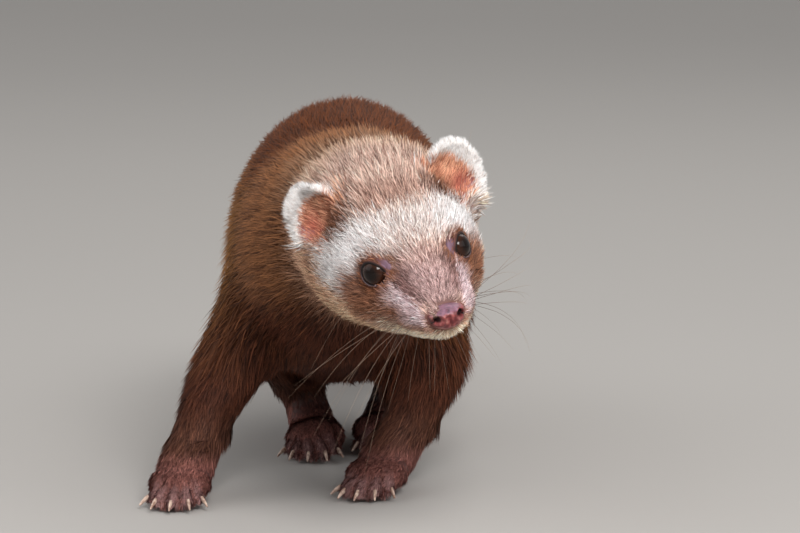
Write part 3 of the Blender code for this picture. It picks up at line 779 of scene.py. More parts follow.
def eye_lids(co):
    """Shape the skin round the eyes: an opening with a rolled rim, and folds beside it.

    Returns the new corners, the distance of each outside the opening, and the place
    round the eye, as an angle from the inner corner up.
    """
    h = to_head(co)
    outside = np.full(len(co), 99.0)
    angles = np.zeros(len(co))
    for side in (-1, 1):
        centre, inner, up, outward = eye_axes(side)
        p = h - centre
        r = np.linalg.norm(p, axis=1)
        way = unit(p)
        a, b, c = way @ inner, way @ up, way @ outward
        around = np.arctan2(b, a)
        close = (r < 12) & (c > -0.35)
        s = (np.arccos(np.clip(c, -1, 1)) - lid_opening(side, around)) * EYE_RADIUS
        s = np.where(s > 0, np.hypot(s, (r - EYE_RADIUS - 0.6).clip(0)), s)
        height = lid_height(s, around)
        height = np.where(s < 1.6, height, height + (r - height) * ramp(s, 1.6, 5.4))
        moved = p / np.maximum(r, 1e-6)[:, None] * height[:, None]
        h = np.where(close[:, None], centre + moved, h)
        nearer = close & (s < outside)
        outside = np.where(nearer, s, outside)
        angles = np.where(nearer, around, angles)
    return from_head(h), outside, angles


def line_gap(h, line):
    """Distance from a line drawn on both sides of the face, and the share along it."""
    p = folded(h)
    best = np.full(len(p), 99.0)
    share = np.zeros(len(p))
    count = len(line) - 1
    for k in range(count):
        along = line[k + 1] - line[k]
        t = np.clip(((p - line[k]) @ along) / (along @ along), 0, 1)
        gap = np.linalg.norm(p - line[k] - t[:, None] * along, axis=1)
        share = np.where(gap < best, (k + t) / count, share)
        best = np.minimum(best, gap)
    return best, share


def sculpt_face(co, normals):
    """Mouth line, chin, whisker pads, furrows beside the bridge and the set of the nose."""
    h = to_head(co)
    x, y, z = h.T
    side = np.abs(x)
    gap, share = line_gap(h, MOUTH)
    push = -0.9 * bell(gap, 0.0, 0.5) * ramp(share, 1.0, 0.8)
    pad = ((folded(h) - (8.6, 10.0, -0.8)) / (4.0, 5.0, 3.4)) ** 2
    push += 1.0 * np.exp(-pad.sum(axis=1))
    gap, share = line_gap(h, FURROW)
    push -= 0.95 * bell(gap, 0.0, 1.25) * ramp(share, -0.1, 0.15) * ramp(share, 1.02, 0.8)
    push += 0.5 * (bell(x, 0.0, 4.6) * ramp(y, 4, 9) * ramp(y, 30, 20) * ramp(z, 2, 5))
    push -= 0.9 * ramp(y, 6.5, 3.0) * ramp(np.hypot(x / 5.6, (z + 0.2) / 4.2), 1.08, 0.9)
    push -= 1.1 * ramp(y, 13.0, 4.0) * ramp(z, 0.5, 3.0) * ramp(side, 8.0, 4.5)
    chin = ((h - (0.0, 5.0, -7.0)) / (5.0, 4.0, 2.4)) ** 2
    push += 0.4 * np.exp(-chin.sum(axis=1))
    near_head = (y < 40) & (side < 32) & (np.abs(z) < 34)
    return co + normals * (push * near_head)[:, None]


def skin_tones(co, normals, outside, angles, shares):
    """Colour of the skin: the coat's markings, darker, the bare places in their own colours and a
    painted highlight on the lower lids.
    """
    roots, tips = tones(co, normals)
    colour = blend(roots * 0.8, tips, np.full(len(co), 0.10))
    h = to_head(co)
    _, y, z = h.T
    head = head_share(h, 84, 66, inner=37)
    # Round the eyes: brown skin, a lilac fold above the inner corner, dark wet rims and a painted
    # highlight along each lower lid.
    fold = bell(angles, 0.75, 0.6) * ramp(outside, 0.7, 1.2) * ramp(outside, 4.4, 2.4)
    tear = bell(angles, -0.25, 0.35) * ramp(outside, 0.3, 0.7) * ramp(outside, 2.2, 1.4)
    # Where the lower lid's wet edge gets a pale line: a painted highlight.
    low = ramp(-np.sin(angles), 0.1, 0.7) * bell(outside, 0.32, 0.12)
    gap, share = line_gap(h, MOUTH)
    bowl = head * ear_bowl(h, ear_facing(co, normals))
    return layered(
        colour,
        ("#6B4038", ramp(outside, 3.0, 1.6) * 0.8),
        ("#806678", np.maximum(0.9 * fold, 0.8 * tear)),
        ("#2C1815", ramp(outside, 0.85, 0.5) * 0.8 * (1 - fold * 0.5)),
        ("#120807", ramp(outside, 0.5, 0.3)),
        # Painted highlight on the lower lid's wet edge.
        ("#B49CA2", 0.7 * low),
        ("#4A2622", ramp(gap, 0.75, 0.3) * ramp(share, 1.0, 0.85) * (y < 26)),
        ("#8E5A56", head * ramp(y, 6.0, 3.5) * ramp(z, -5.0, -3.5) * 0.7),
        ("#845040", bowl * 0.8),
        ("#8A4A44", bowl * ramp(nearer_ear(h)[0], 0.35, -0.2) * 0.8),
        ("#AC787C", head * bare_ear(h) * 0.95),
        ("#8C625E", shares["paw"] * toe_tops(co) * 0.7),
        ("#7A4C46", shares["paw"] * ramp(normals[:, 2], -0.3, -0.8)))


def toe_places():
    """For each paw: its middle ahead of the heel, and where its five claws root."""
    paws = []
    for paw in PAWS:
        boxes = [np.array(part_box(f"claw_{paw}_{k}"), float) / MM for k in range(1, 6)]
        claws = np.array([box.mean(axis=0) for box in boxes])
        low, high = np.array(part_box(paw.replace("_", "paw_")), float) / MM
        ahead = claws.mean(axis=0) - (low + high) / 2
        ahead[2] = 0
        ahead = unit(ahead)
        paws.append((claws.mean(axis=0) - ahead * 17.0, claws))
    return paws


def toe_gaps(points):
    """Distance from the nearest toe's line, how much further the next is, and share along it."""
    first = np.full(len(points), 99.0)
    second = np.full(len(points), 99.0)
    share = np.zeros(len(points))
    for middle, claws in WORK["paws"]:
        p = points[:, :2] - middle[:2]
        for claw in claws:
            along = (claw - middle)[:2]
            t = (p @ along) / (along @ along)
            gap = np.linalg.norm(p - np.clip(t, 0, 1.1)[:, None] * along, axis=1)
            nearer = gap < first
            second = np.where(nearer, first, np.minimum(second, gap))
            share = np.where(nearer, t, share)
            first = np.where(nearer, gap, first)
    return first, second - first, share


def toe_tops(points):
    """1 along the top of each toe near its claw, 0 between the toes and behind them."""
    gap, more, share = toe_gaps(points)
    return ramp(gap, 2.6, 0.9) * ramp(share, 0.45, 0.75) * ramp(more, 0.2, 1.4)


def cling(co, chosen, shape, share):
    """Draw the chosen vertices on to the solids' own faces."""
    for k in np.nonzero(chosen)[0]:
        place = shape.find_nearest(co[k])[0]
        if place is not None:
            co[k] += share * (np.array(place) - co[k])
    return co


def eye_gap(co):
    """Distance from the middle of the nearer eye."""
    h = to_head(co)
    return np.minimum(np.linalg.norm(h - EYE, axis=1), np.linalg.norm(h - EYE * (-1, 1, 1), axis=1))


def fused_net(voxel):
    """One even net round the solids of flesh and the plugs, and the solids' faces to cling to."""
    head = welded_copy("head")
    co, tri = mesh_arrays(head.data)
    bpy.data.objects.remove(head)
    WORK["head_shape"] = BVHTree.FromPolygons([tuple(p) for p in to_head(co)], tri.tolist())
    skin = joined([welded_copy(node, 0.22) for node in FLESH + PLUGS], "skin")
    co, tri = mesh_arrays(skin.data)
    shape = BVHTree.FromPolygons([tuple(p) for p in co], [tuple(t) for t in tri.tolist()])
    co, tri = voxel_net(skin, voxel)
    return co, tri, shape


def at_paws(co):
    """Where the body is low enough and far enough ahead to be a paw."""
    return (co[:, 2] < 20) & (co[:, 1] < 55)


def finer_net(co, tri, shape):
    """Split the net of the face, ears and paws in two rounds and draw it back on to the solids."""
    for first, toe_reach in ((True, 14.0), (False, 9.0)):
        h = to_head(co)
        side, height = np.abs(h[:, 0]), np.abs(h[:, 2])
        gap, _, share = toe_gaps(co)
        chosen = at_paws(co) & (gap < toe_reach) & (share > (0.0 if first else 0.2))
        chosen |= (h[:, 1] < 13) & (side < 15) & (height < 12)
        if first:
            chosen |= (h[:, 1] < 34) & (side < 24)
            chosen |= (ear_share(h)[0] > 0.3) | (eye_gap(co) < 9.5)
        co, tri = refine(co, tri, chosen)
        edges = edges_of(tri)
        bound = at_paws(co) | (ear_share(to_head(co))[0] > 0.3)
        co = even_out(co, edges, 2, 0.35)
        co = cling(co, bound, shape, 0.85)
        co = even_out(co, edges, 2, 0.3)
    return co, tri, edges


def sink(co, tri, edges):
    """Move the net in by the coat's depth, and further in front of the ears.

    Returns the new corners and how deep each lies in front of an ear, from 0 to 1.
    """
    depth = mixed(regions(co, vertex_normals(co, tri)), DEPTH)
    depth = depth * ramp(eye_gap(co), 4.0, 10.0).clip(0.25)
    depth = depth * (1 - 0.45 * ramp(co[:, 1], 160, 195)) * (1 - 0.8 * ramp(co[:, 1], 194, 208))
    h = to_head(co)
    pit = ear_pit(h) * (1 - ear_share(h)[0])
    depth = even_out(depth, edges, 12) + 3.0 * even_out(pit, edges, 2)
    steps = 6
    for _ in range(steps):
        co = co - vertex_normals(co, tri) * (depth / steps)[:, None]
        co = even_out(co, edges, 1, 0.25 * (depth > 1.2))
    return co, even_out(pit, edges, 3)


def trim_ears(co, pit):
    """End the flaps of the ears short of the solids' rims, and let the pits before them down."""
    h = to_head(co)
    for side, row in zip((-1, 1), EARS):
        base, across, up, facing = ear_axes(row)
        h = h - (up * 0.9 - facing * 0.25) * (2.4 * pit * (np.sign(h[:, 0]) == side))[:, None]
        p = h - base
        u, v, w = p @ across, p @ up, p @ facing
        here = ramp(v, 1.0, 6.0) * ramp(np.abs(u), 14.0, 11.0) * ramp(np.abs(w + 2.6), 6.5, 5.0)
        h = h - (across * (0.04 * u * here)[:, None] + up * (0.03 * v * here)[:, None])
    return from_head(h)


def finest_net(co, tri):
    """Split the net of the lids and lips in two more rounds."""
    for reach, mouth_reach in ((7.4, 2.0), (6.3, 1.0)):
        h = to_head(co)
        ahead = np.maximum.reduce([(h - eye_axes(side)[0]) @ eye_axes(side)[3] for side in (1, -1)])
        gap, share = line_gap(h, MOUTH)
        chosen = ((eye_gap(co) < reach) & (ahead > 0.3)) | ((gap < mouth_reach) & (share < 0.99))
        co, tri = refine(co, tri, chosen)
        edges = edges_of(tri)
        touched = np.ones(len(co))
        touched[:len(chosen)] = chosen
        co = even_out(co, edges, 2, 0.4 * touched)
    return co, tri, edges


def make_skin(voxel):
    """Fuse, smooth, sink by the coat's depth and sculpt; returns the skin's arrays."""
    WORK["paws"] = toe_places()
    co, tri, shape = fused_net(voxel)
    # Melt the facets: long on the trunk, little on the face.
    edges = edges_of(tri)
    h = to_head(co)
    small = np.maximum(ear_share(h)[0], ramp(co[:, 2], 20, 12) * (co[:, 1] < 60))
    co = even_out(co, edges, 6, 0.5 * (1 - small))
    co = even_out(co, edges, 40, 0.5 * (1 - small) * (1 - 0.85 * head_share(h, 88, 60)))
    co, tri, edges = finer_net(co, tri, shape)
    co, pit = sink(co, tri, edges)
    co = trim_ears(co, pit)
    co, tri, edges = finest_net(co, tri)
    co, outside, angles = eye_lids(co)
    co = sculpt_face(co, vertex_normals(co, tri))
    # Clefts between the toes.
    gap, more, share = toe_gaps(co)
    cleft = bell(more, 0.0, 1.3) * ramp(share, 0.35, 0.6) * (gap < 6) * ramp(co[:, 2], 0.8, 2.5)
    cleft = cleft * ramp(co[:, 2], 16, 11) * (co[:, 1] < 60)
    co = co - vertex_normals(co, tri) * (1.1 * cleft)[:, None]
    co = even_out(co, edges, 1, 0.3 * ramp(outside, 0.6, 1.6))
    co[:, 2] = np.maximum(co[:, 2], 0.05)
    return co, tri, edges, outside, angles


# ---------------------------------------------------------------- tufts

def unwrap(points):
    """A place on an unwrap of the skin: round and along the body, each ear and each leg."""
    h = to_head(points)
    x, y, z = h.T
    px, py, pz = points.T
    closeness, _ = bone_frames(points)
    uv = np.zeros((len(points), 2))

    def turn(a, b):
        """Share of a whole turn."""
        return np.arctan2(a, b) / (2 * np.pi) + 0.5

    # Head: round its own axis, from the nose back.
    in_head = (y < 78) & (np.hypot(x, z - 2.0) < 42)
    uv[:, 0] = 0.01 + 0.98 * turn(x, z - 1.0 - 0.1 * y)
    uv[:, 1] = 0.01 + 0.44 * np.clip((y + 2.0) / 80.0, 0, 1)
    # Trunk and tail: round the spine, from the neck back.
    line = np.array(BONES["spine"][1] + BONES["tail"][1][1:], float)
    mid_x, mid_z = (np.interp(py, line[:, 1], line[:, k]) for k in (0, 2))
    trunk = ~in_head
    uv[trunk, 0] = 0.01 + 0.98 * turn(px - mid_x, pz - mid_z)[trunk]
    uv[trunk, 1] = 0.46 + 0.36 * np.clip((py[trunk] + 170.0) / 390.0, 0, 1)
    # Legs: four strips side by side.
    gaps = [np.minimum.reduce([closeness[name] for name in names]) for names in LEGS]
    for k, names in enumerate(LEGS):
        mine = trunk & (gaps[k] < 1.25) & (pz < 40) & (py < 70)
        mine &= gaps[k] <= np.minimum.reduce(gaps[:k] + gaps[k + 1:])
        line = np.concatenate([np.array(BONES[name][1], float) for name in names])
        line = line[np.argsort(line[:, 2])]
        mid_x, mid_y = (np.interp(pz, line[:, 2], line[:, j]) for j in (0, 1))
        uv[mine, 0] = 0.01 + 0.245 * k + 0.225 * turn(px - mid_x, py - mid_y)[mine]
        uv[mine, 1] = 0.83 + 0.16 * np.clip(pz[mine] / 40.0, 0, 1)
    # Ears: squares at the back of the head's strip, one for each hollow and one for each back.
    ear, place = ear_share(h)
    for k in (0, 1):
        mine = in_head & (ear > 0.5) & ((x > 0) == bool(k))
        u, v, w = place[mine].T
        back = (w < -4.0 + 3.0 * np.abs(u)).astype(float)
        uv[mine, 0] = 0.02 + 0.5 * k + 0.22 * back + 0.10 * (u + 1)
        uv[mine, 1] = 0.36 + 0.08 * np.clip(v, 0, 1)
    return np.clip(uv, 0.004, 0.996)


def sample_roots(co, tri, density, count, random):
    """Triangle and weights of evenly spread roots, at a density given for each vertex."""
    a, b, c = co[tri[:, 0]], co[tri[:, 1]], co[tri[:, 2]]
    area = np.linalg.norm(np.cross(b - a, c - a), axis=1) / 2
    weight = area * density[tri].mean(axis=1)
    total = np.cumsum(weight)
    marks = (np.arange(count) + random.random(count)) / count * total[-1]
    face = np.searchsorted(total, marks).clip(0, len(tri) - 1)
    r1, r2 = np.sqrt(random.random(count)), random.random(count)
    weights = np.stack((1 - r1, r1 * (1 - r2), r1 * r2), 1)
    return face, weights


# Half a tuft's width at each of its rows but the point, as a share of its width.
HALF_WIDTHS = {2: (0.5, 0.0), 3: (0.40, 0.46, 0.0)}


def tuft_arrays(fields, count, rows, random, layer):
    """Corners, triangles, colours, patches and normals of tufts rooted all over the skin.

    A tuft has two corners at each row but the last, which is its point.
    """
    face, weights = sample_roots(fields["co"], fields["tri"], fields["density"], count, random)
    rooted = fields["tri"][face]

    def at(key):
        """A field's value at each root."""
        values = fields[key][rooted]
        return (values * (weights if values.ndim == 2 else weights[..., None])).sum(axis=1)

    root = at("co")
    normal = unit(at("normals"))
    way = unit(along_surface(at("way"), normal))
    side = np.cross(way, normal)
    size = at("length") * (0.70 + 0.55 * random.random(count)) * layer["length"]
    width = at("width") * (0.75 + 0.5 * random.random(count)) * layer["width"]
    # Stray a little from the lie of the coat.
    stray = at("stray") * random.normal(0, 1.0, count) + 20 * (noise(root, 7.0, 21) - 0.5)
    stray = np.radians(stray)[:, None]
    way = way * np.cos(stray) + side * np.sin(stray)
    side = np.cross(way, normal)
    lift = at("lift") * (0.55 + 0.9 * random.random(count)) * layer["lift"]
    lift = np.radians(np.maximum(lift, at("steep") + random.normal(0, 5.0, count)))
    bend = at("bend") if rows > 2 else np.full(count, 0.35)
    roll = np.radians(random.normal(0, 24.0, count))[:, None]
    # Tufts that root in one cell lean to its middle line and share a random tone; tufts at a cell's
    # edge get painted shade and those at its middle painted light.
    clump = at("clump")
    cell = np.floor(root / clump[:, None] + 500.0)
    jitter = np.stack([lattice(cell, 31 + k) for k in range(3)], 1)
    middle = (cell - 500.0 + 0.25 + 0.5 * jitter) * clump[:, None]
    pull = along_surface(along_surface(middle - root, normal), way)
    clump_middle_light = 1 - np.clip(np.linalg.norm(pull, axis=1) / (0.62 * clump), 0, 1)
    # Painted shade at a clump's edge and painted light at its middle, with a random tone for each
    # cell and each tuft.
    shade = 0.55 * (clump_middle_light - 0.45) + 0.50 * (lattice(cell, 41) - 0.5)
    shade = shade + random.normal(0, 0.17, count)
    shade = (1 + at("contrast") * shade).clip(0.25)
    # Colour is read a little way off the root, so that markings meet hair by hair.
    mingle = (0.18 * clump + at("mingle"))[:, None]
    spot = root + way * (0.5 * size)[:, None] + random.normal(0, 1, (count, 3)) * mingle
    root_tone, tip_tone = tones(spot, normal)
    kind = random.random(count)
    dark = kind < layer["dark"]
    pale = kind > 1 - at("pale")
    tip_tone = blend(tip_tone, root_tone, dark * 0.75)
    root_tone = blend(root_tone, tip_tone, pale * 0.6)
    tip_tone = tip_tone * (1 + 0.3 * pale)[:, None]
    last = rows - 1
    side_way = side * np.cos(roll) + normal * np.sin(roll)
    points, colours, patch = [], [], []
    for row, half in enumerate(HALF_WIDTHS[rows]):
        t = row / last
        out = size * (np.sin(lift) * t - bend * np.sin(lift) * 0.45 * t * t)
        centre = root - normal * 0.25 + way * (size * np.cos(lift) * t)[:, None]
        centre = centre + normal * out[:, None] + pull * (0.66 * t * t)
        tone = blend(root_tone, tip_tone, np.full(count, t ** 1.2)) * shade[:, None]
        reach = side_way * (width * half)[:, None]
        for edge in (0,) if row == last else (-1, 1):
            points.append(centre + reach * edge)
            colours.append(tone)
            patch.append((edge * PATCH / 2, (t - 0.5) * PATCH))
    per = len(points)
    corners = np.stack(points, 1).reshape(-1, 3)
    corners[:, 2] = np.maximum(corners[:, 2], 0.12)
    tone = np.stack(colours, 1).reshape(-1, 3).clip(0, 1)
    # Two triangles from each pair of corners to the next, and one up to the point.
    pattern = []
    for k in range(0, per - 3, 2):
        pattern += [(k, k + 1, k + 3), (k, k + 3, k + 2)]
    pattern.append((per - 3, per - 2, per - 1))
    faces = (np.arange(count) * per)[:, None, None] + np.array(pattern)
    # Each tuft's patch sits at its root's place on the unwrap.
    uv = (unwrap(root)[:, None, :] + np.array(patch)[None]).reshape(-1, 2)
    # Light falls on the coat more as a soft whole than as separate blades.
    blade = unit(normal * np.cos(roll) - side * np.sin(roll))
    soft = np.repeat(unit(0.62 * normal + 0.38 * blade), per, axis=0)
    return corners, faces.reshape(-1, 3), tone, uv, soft


# ---------------------------------------------------------------- materials

def add_node(tree, kind, settings=None, links=None, place=(0, 0)):
    """Add a node, set its properties and sockets, and link what feeds it."""
    node = tree.nodes.new(kind)
    node.location = place
    for key, value in (settings or {}).items():
        if isinstance(key, str) and hasattr(node, key):
            setattr(node, key, value)
        else:
            node.inputs[key].default_value = value
    for key, source in (links or {}).items():
        tree.links.new(source, node.inputs[key])
    return node


def new_material(name, **sockets):
    """A material with a Principled shader and the given constant sockets."""
    material = bpy.data.materials.new(name)
    material.use_nodes = True
    tree = material.node_tree
    shader = tree.nodes["Principled BSDF"]
    for key, value in sockets.items():
        shader.inputs[key.replace("_", " ")].default_value = value
    return material, tree, shader


def painted(tree):
    """The colour stored on the mesh."""
    return add_node(tree, "ShaderNodeVertexColor", {"layer_name": "tone"}).outputs["Color"]


def own_place(tree):
    """Places in the model's own frame, in metres."""
    return add_node(tree, "ShaderNodeTexCoord").outputs["Object"]


def grain(tree, place, **settings):
    """Noise at the given places, from 0 to 1."""
    return add_node(tree, "ShaderNodeTexNoise", settings, {"Vector": place}).outputs["Fac"]


def shaded(tree, colour, pattern, low, high):
    """A colour made darker and lighter by a pattern, between two factors."""
    shade = add_node(tree, "ShaderNodeMapRange",
                     {"From Min": 0.3, "From Max": 0.7, "To Min": low, "To Max": high},
                     {"Value": pattern})
    mixer = add_node(tree, "ShaderNodeVectorMath", {"operation": "SCALE"},
                     {0: colour, "Scale": shade.outputs["Result"]})
    return mixer.outputs["Vector"]


def colour_ramp(tree, value, stops):
    """A ramp through linear colours, from rows of place and colour."""
    node = add_node(tree, "ShaderNodeValToRGB", {}, {"Fac": value})
    elements = node.color_ramp.elements
    while len(elements) < len(stops):
        elements.new(0.5)
    for element, (position, colour) in zip(elements, stops):
        element.position = position
        element.color = (*colour, 1)
    return node.outputs["Color"]


def bumped(tree, height, strength, distance):
    """Small relief from a height."""
    node = add_node(tree, "ShaderNodeBump", {"Strength": strength, "Distance": distance},
                    {"Height": height})
    return node.outputs["Normal"]


def coat_material():
    """Keratin hair: softly glossy, each tuft showing several fine hairs side by side."""
    material, tree, shader = new_material(
        "fur_keratin", Roughness=0.6, IOR=1.55, Specular_IOR_Level=0.1)
    patch = add_node(tree, "ShaderNodeUVMap", {"uv_map": "OFBake"})
    # About seven hairs across each tuft, 0.05 mm apart, each of one shade along its length.
    stretch = add_node(tree, "ShaderNodeMapping", {"Scale": (2400.0, 160.0, 1.0)},
                       {"Vector": patch.outputs["UV"]})
    hairs = grain(tree, stretch.outputs["Vector"], noise_dimensions="2D", Scale=1.0, Detail=1.0)
    tree.links.new(shaded(tree, painted(tree), hairs, 0.66, 1.34), shader.inputs["Base Color"])
    return material


def skin_material():
    """Living skin under fur: matt and finely wrinkled, with the markings of the coat."""
    material, tree, shader = new_material(
        "skin_under_fur", Roughness=0.6, IOR=1.4, Specular_IOR_Level=0.4)
    # Skin wrinkles about 0.5 mm across.
    wrinkles = grain(tree, own_place(tree), Scale=1800.0, Detail=4.0, Roughness=0.65)
    tree.links.new(painted(tree), shader.inputs["Base Color"])
    tree.links.new(bumped(tree, wrinkles, 0.35, 0.0002), shader.inputs["Normal"])
    return material


def nose_material():
    """Bare wet skin of the nose pad, cobbled in cells about 0.4 mm across."""
    material, tree, shader = new_material(
        "nose_skin", Roughness=0.42, IOR=1.4, Specular_IOR_Level=0.45, Coat_Weight=0.15,
        Coat_Roughness=0.28, Subsurface_Weight=0.08, Subsurface_Scale=0.001)
    place = own_place(tree)
    cells = add_node(tree, "ShaderNodeTexVoronoi", {"Scale": 2300.0}, {"Vector": place})
    mottle = grain(tree, place, Scale=900.0, Detail=3.0)
    tree.links.new(shaded(tree, painted(tree), mottle, 0.72, 1.2), shader.inputs["Base Color"])
    tree.links.new(bumped(tree, cells.outputs["Distance"], 0.5, 0.0001), shader.inputs["Normal"])
    return material


# Colours across the eye, from the middle of the pupil (0) to 4 mm out (1).
IRIS = ((0.0, "#0C0503"), (0.36, "#120704"), (0.50, "#221008"), (0.72, "#34190C"),
        (0.90, "#120906"), (1.0, "#0A0605"))


def eye_material(name, centre, outward):
    """A wet dark eye: black pupil, dark brown iris with fine rays, under a clear film."""
    material, tree, shader = new_material(
        name, Roughness=0.35, IOR=1.34, Specular_IOR_Level=0.0, Coat_Weight=1.0,
        Coat_Roughness=0.01, Coat_IOR=1.33)
    turn = Vector(outward).to_track_quat("Z", "Y").to_euler()
    local = add_node(
        tree, "ShaderNodeMapping",
        {"vector_type": "TEXTURE", "Location": centre, "Rotation": turn, "Scale": (MM, MM, MM)},
        {"Vector": own_place(tree)})
    split = add_node(tree, "ShaderNodeSeparateXYZ", {}, {"Vector": local.outputs["Vector"]})
    x, y = split.outputs["X"], split.outputs["Y"]
    flat = add_node(tree, "ShaderNodeCombineXYZ", {}, {"X": x, "Y": y})
    reach = add_node(tree, "ShaderNodeVectorMath", {"operation": "LENGTH"},
                     {0: flat.outputs["Vector"]})
    across = add_node(tree, "ShaderNodeMapRange", {"From Min": 0.0, "From Max": 4.0},
                      {"Value": reach.outputs["Value"]})
    around = add_node(tree, "ShaderNodeMath", {"operation": "ARCTAN2"}, {0: y, 1: x})
    rays = add_node(tree, "ShaderNodeTexNoise",
                    {"noise_dimensions": "1D", "Scale": 9.0, "Detail": 4.0},
                    {"W": around.outputs["Value"]})
    iris = colour_ramp(tree, across.outputs["Result"], [(k, linear(tint)) for k, tint in IRIS])
    tree.links.new(shaded(tree, iris, rays.outputs["Fac"], 0.75, 1.3), shader.inputs["Base Color"])
    return material


def claw_material():
    """Horn: pale, smooth and slightly clear, in two tones a millimetre or two apart."""
    material, tree, shader = new_material(
        "claw_horn", Roughness=0.32, IOR=1.54, Specular_IOR_Level=0.5, Coat_Weight=0.2)
    growth = grain(tree, own_place(tree), Scale=700.0, Detail=3.0)
    horn = colour_ramp(tree, growth, ((0.35, linear("#9C7A6A")), (0.65, linear("#DCC4B2"))))
    tree.links.new(horn, shader.inputs["Base Color"])
    return material


def whisker_material():
    """Stiff whisker hair, smooth and a little glossy, dark at the root and pale at the tip."""
    material, tree, shader = new_material(
        "whisker_keratin", Roughness=0.35, IOR=1.55, Specular_IOR_Level=0.5)
    tree.links.new(painted(tree), shader.inputs["Base Color"])
    return material


def floor_material(colour):
    """Matt studio paper, faintly clouded."""
    material, tree, shader = new_material("studio_paper", Roughness=0.9, Specular_IOR_Level=0.15)
    cloud = grain(tree, own_place(tree), Scale=2.0, Detail=2.0)
    paper = colour_ramp(tree, cloud, ((0.0, [c * 0.97 for c in colour]), (1.0, colour)))
    tree.links.new(paper, shader.inputs["Base Color"])
    return material


# ---------------------------------------------------------------- settings

class FERRET_PG_skin(bpy.types.PropertyGroup):
    """Sizes of the skin."""

    voxel: bpy.props.FloatProperty(
        name="Net size", description="Spacing of the skin's net, in millimetres",
        default=1.85, min=0.8, max=4.0)


class FERRET_PG_coat(bpy.types.PropertyGroup):
    """Amount and finish of the coat."""

    pieces: bpy.props.IntProperty(
        name="Layers", description="Number of coat pieces laid over one another",
        default=8, min=1, max=12)
    under_pieces: bpy.props.IntProperty(
        name="Underfur layers",
        description="Number of the coat pieces that are short straight underfur",
        default=2, min=0, max=12)
    triangles: bpy.props.IntProperty(
        name="Triangles", description="Triangles in each layer of the coat",
        default=184000, min=1000, max=199000)
    seed: bpy.props.IntProperty(
        name="Seed", description="Start of the random placing of tufts", default=7)


class FERRET_PG_stage(bpy.types.PropertyGroup):
    """Floor, light and camera."""

    camera_back: bpy.props.FloatProperty(
        name="Camera distance", description="Distance of the camera ahead of the model's middle",
        default=1.3685, unit="LENGTH")
    camera_height: bpy.props.FloatProperty(
        name="Camera height", description="Height of the camera above the floor",
        default=0.226, unit="LENGTH")
    camera_side: bpy.props.FloatProperty(
        name="Camera offset", description="Offset of the camera to the animal's left",
        default=0.0262, unit="LENGTH")
    tilt: bpy.props.FloatProperty(
        name="Downward tilt", description="Angle by which the camera looks down",
        default=math.radians(7.0), subtype="ANGLE")
    lens: bpy.props.FloatProperty(
        name="Lens", description="Focal length in millimetres", default=191.7)
    floor_reach: bpy.props.FloatProperty(
        name="Floor reach", description="Distance from the middle of the floor to its sides",
        default=12.0, unit="LENGTH")
    floor_colour: bpy.props.FloatVectorProperty(
        name="Floor", description="Colour of the floor", subtype="COLOR", size=3,
        default=tuple(linear("#B4B1AD")))
    key_power: bpy.props.FloatProperty(
        name="Key light", description="Power of the main soft light, in watts", default=18.8)


# ---------------------------------------------------------------- operators

class FERRET_OT_skin(bpy.types.Operator):
    """Make the one skin that replaces the solids of flesh"""

    bl_idname = "ferret.skin"
    bl_label = "Skin"

    def execute(self, context):
        co, tri, edges, outside, angles = make_skin(context.scene.ferret_skin.voxel)
        normals = vertex_normals(co, tri)
        shares = regions(co, normals)
        WORK.update(co=co, tri=tri, edges=edges, normals=normals, shares=shares,
                    outside=outside, angles=angles)
        mesh = build_mesh("skin", co, tri)
        paint_corners(mesh, "tone", skin_tones(co, normals, outside, angles, shares))
        mesh.materials.append(skin_material())
        skin = add_piece("skin", mesh)
        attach(skin, BODY)
        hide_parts(*FLESH)
        return {"FINISHED"}


class FERRET_OT_eyes(bpy.types.Operator):
    """Make the two eyes, each a ball with a slightly raised clear front"""

    bl_idname = "ferret.eyes"
    bl_label = "Eyes"

    def execute(self, context):
        for name, side in (("eye_right", -1), ("eye_left", 1)):
            centre, _, _, outward = eye_axes(side)
            centre = from_head(centre)
            outward = outward @ HEAD_AXES.T
            bpy.ops.object.select_all(action="DESELECT")
            bpy.ops.mesh.primitive_uv_sphere_add(
                segments=64, ring_count=40, radius=EYE_RADIUS * MM, location=(0, 0, 0))
            eye = bpy.context.active_object
            for vert in eye.data.vertices:
                high = vert.co.z / (EYE_RADIUS * MM)
                vert.co *= 1 + 0.035 * max(0.0, high - 0.45) ** 1.5
            turn = Vector(outward).to_track_quat("Z", "Y").to_matrix().to_4x4()
            eye.data.transform(Matrix.Translation(Vector(centre) * MM) @ turn)
            eye.data.shade_smooth()
            eye.name = name.replace("eye", "eyeball")
            eye.data.materials.append(eye_material(name, tuple(centre * MM), tuple(outward)))
            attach(eye, BODY)
            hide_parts(name)
        return {"FINISHED"}


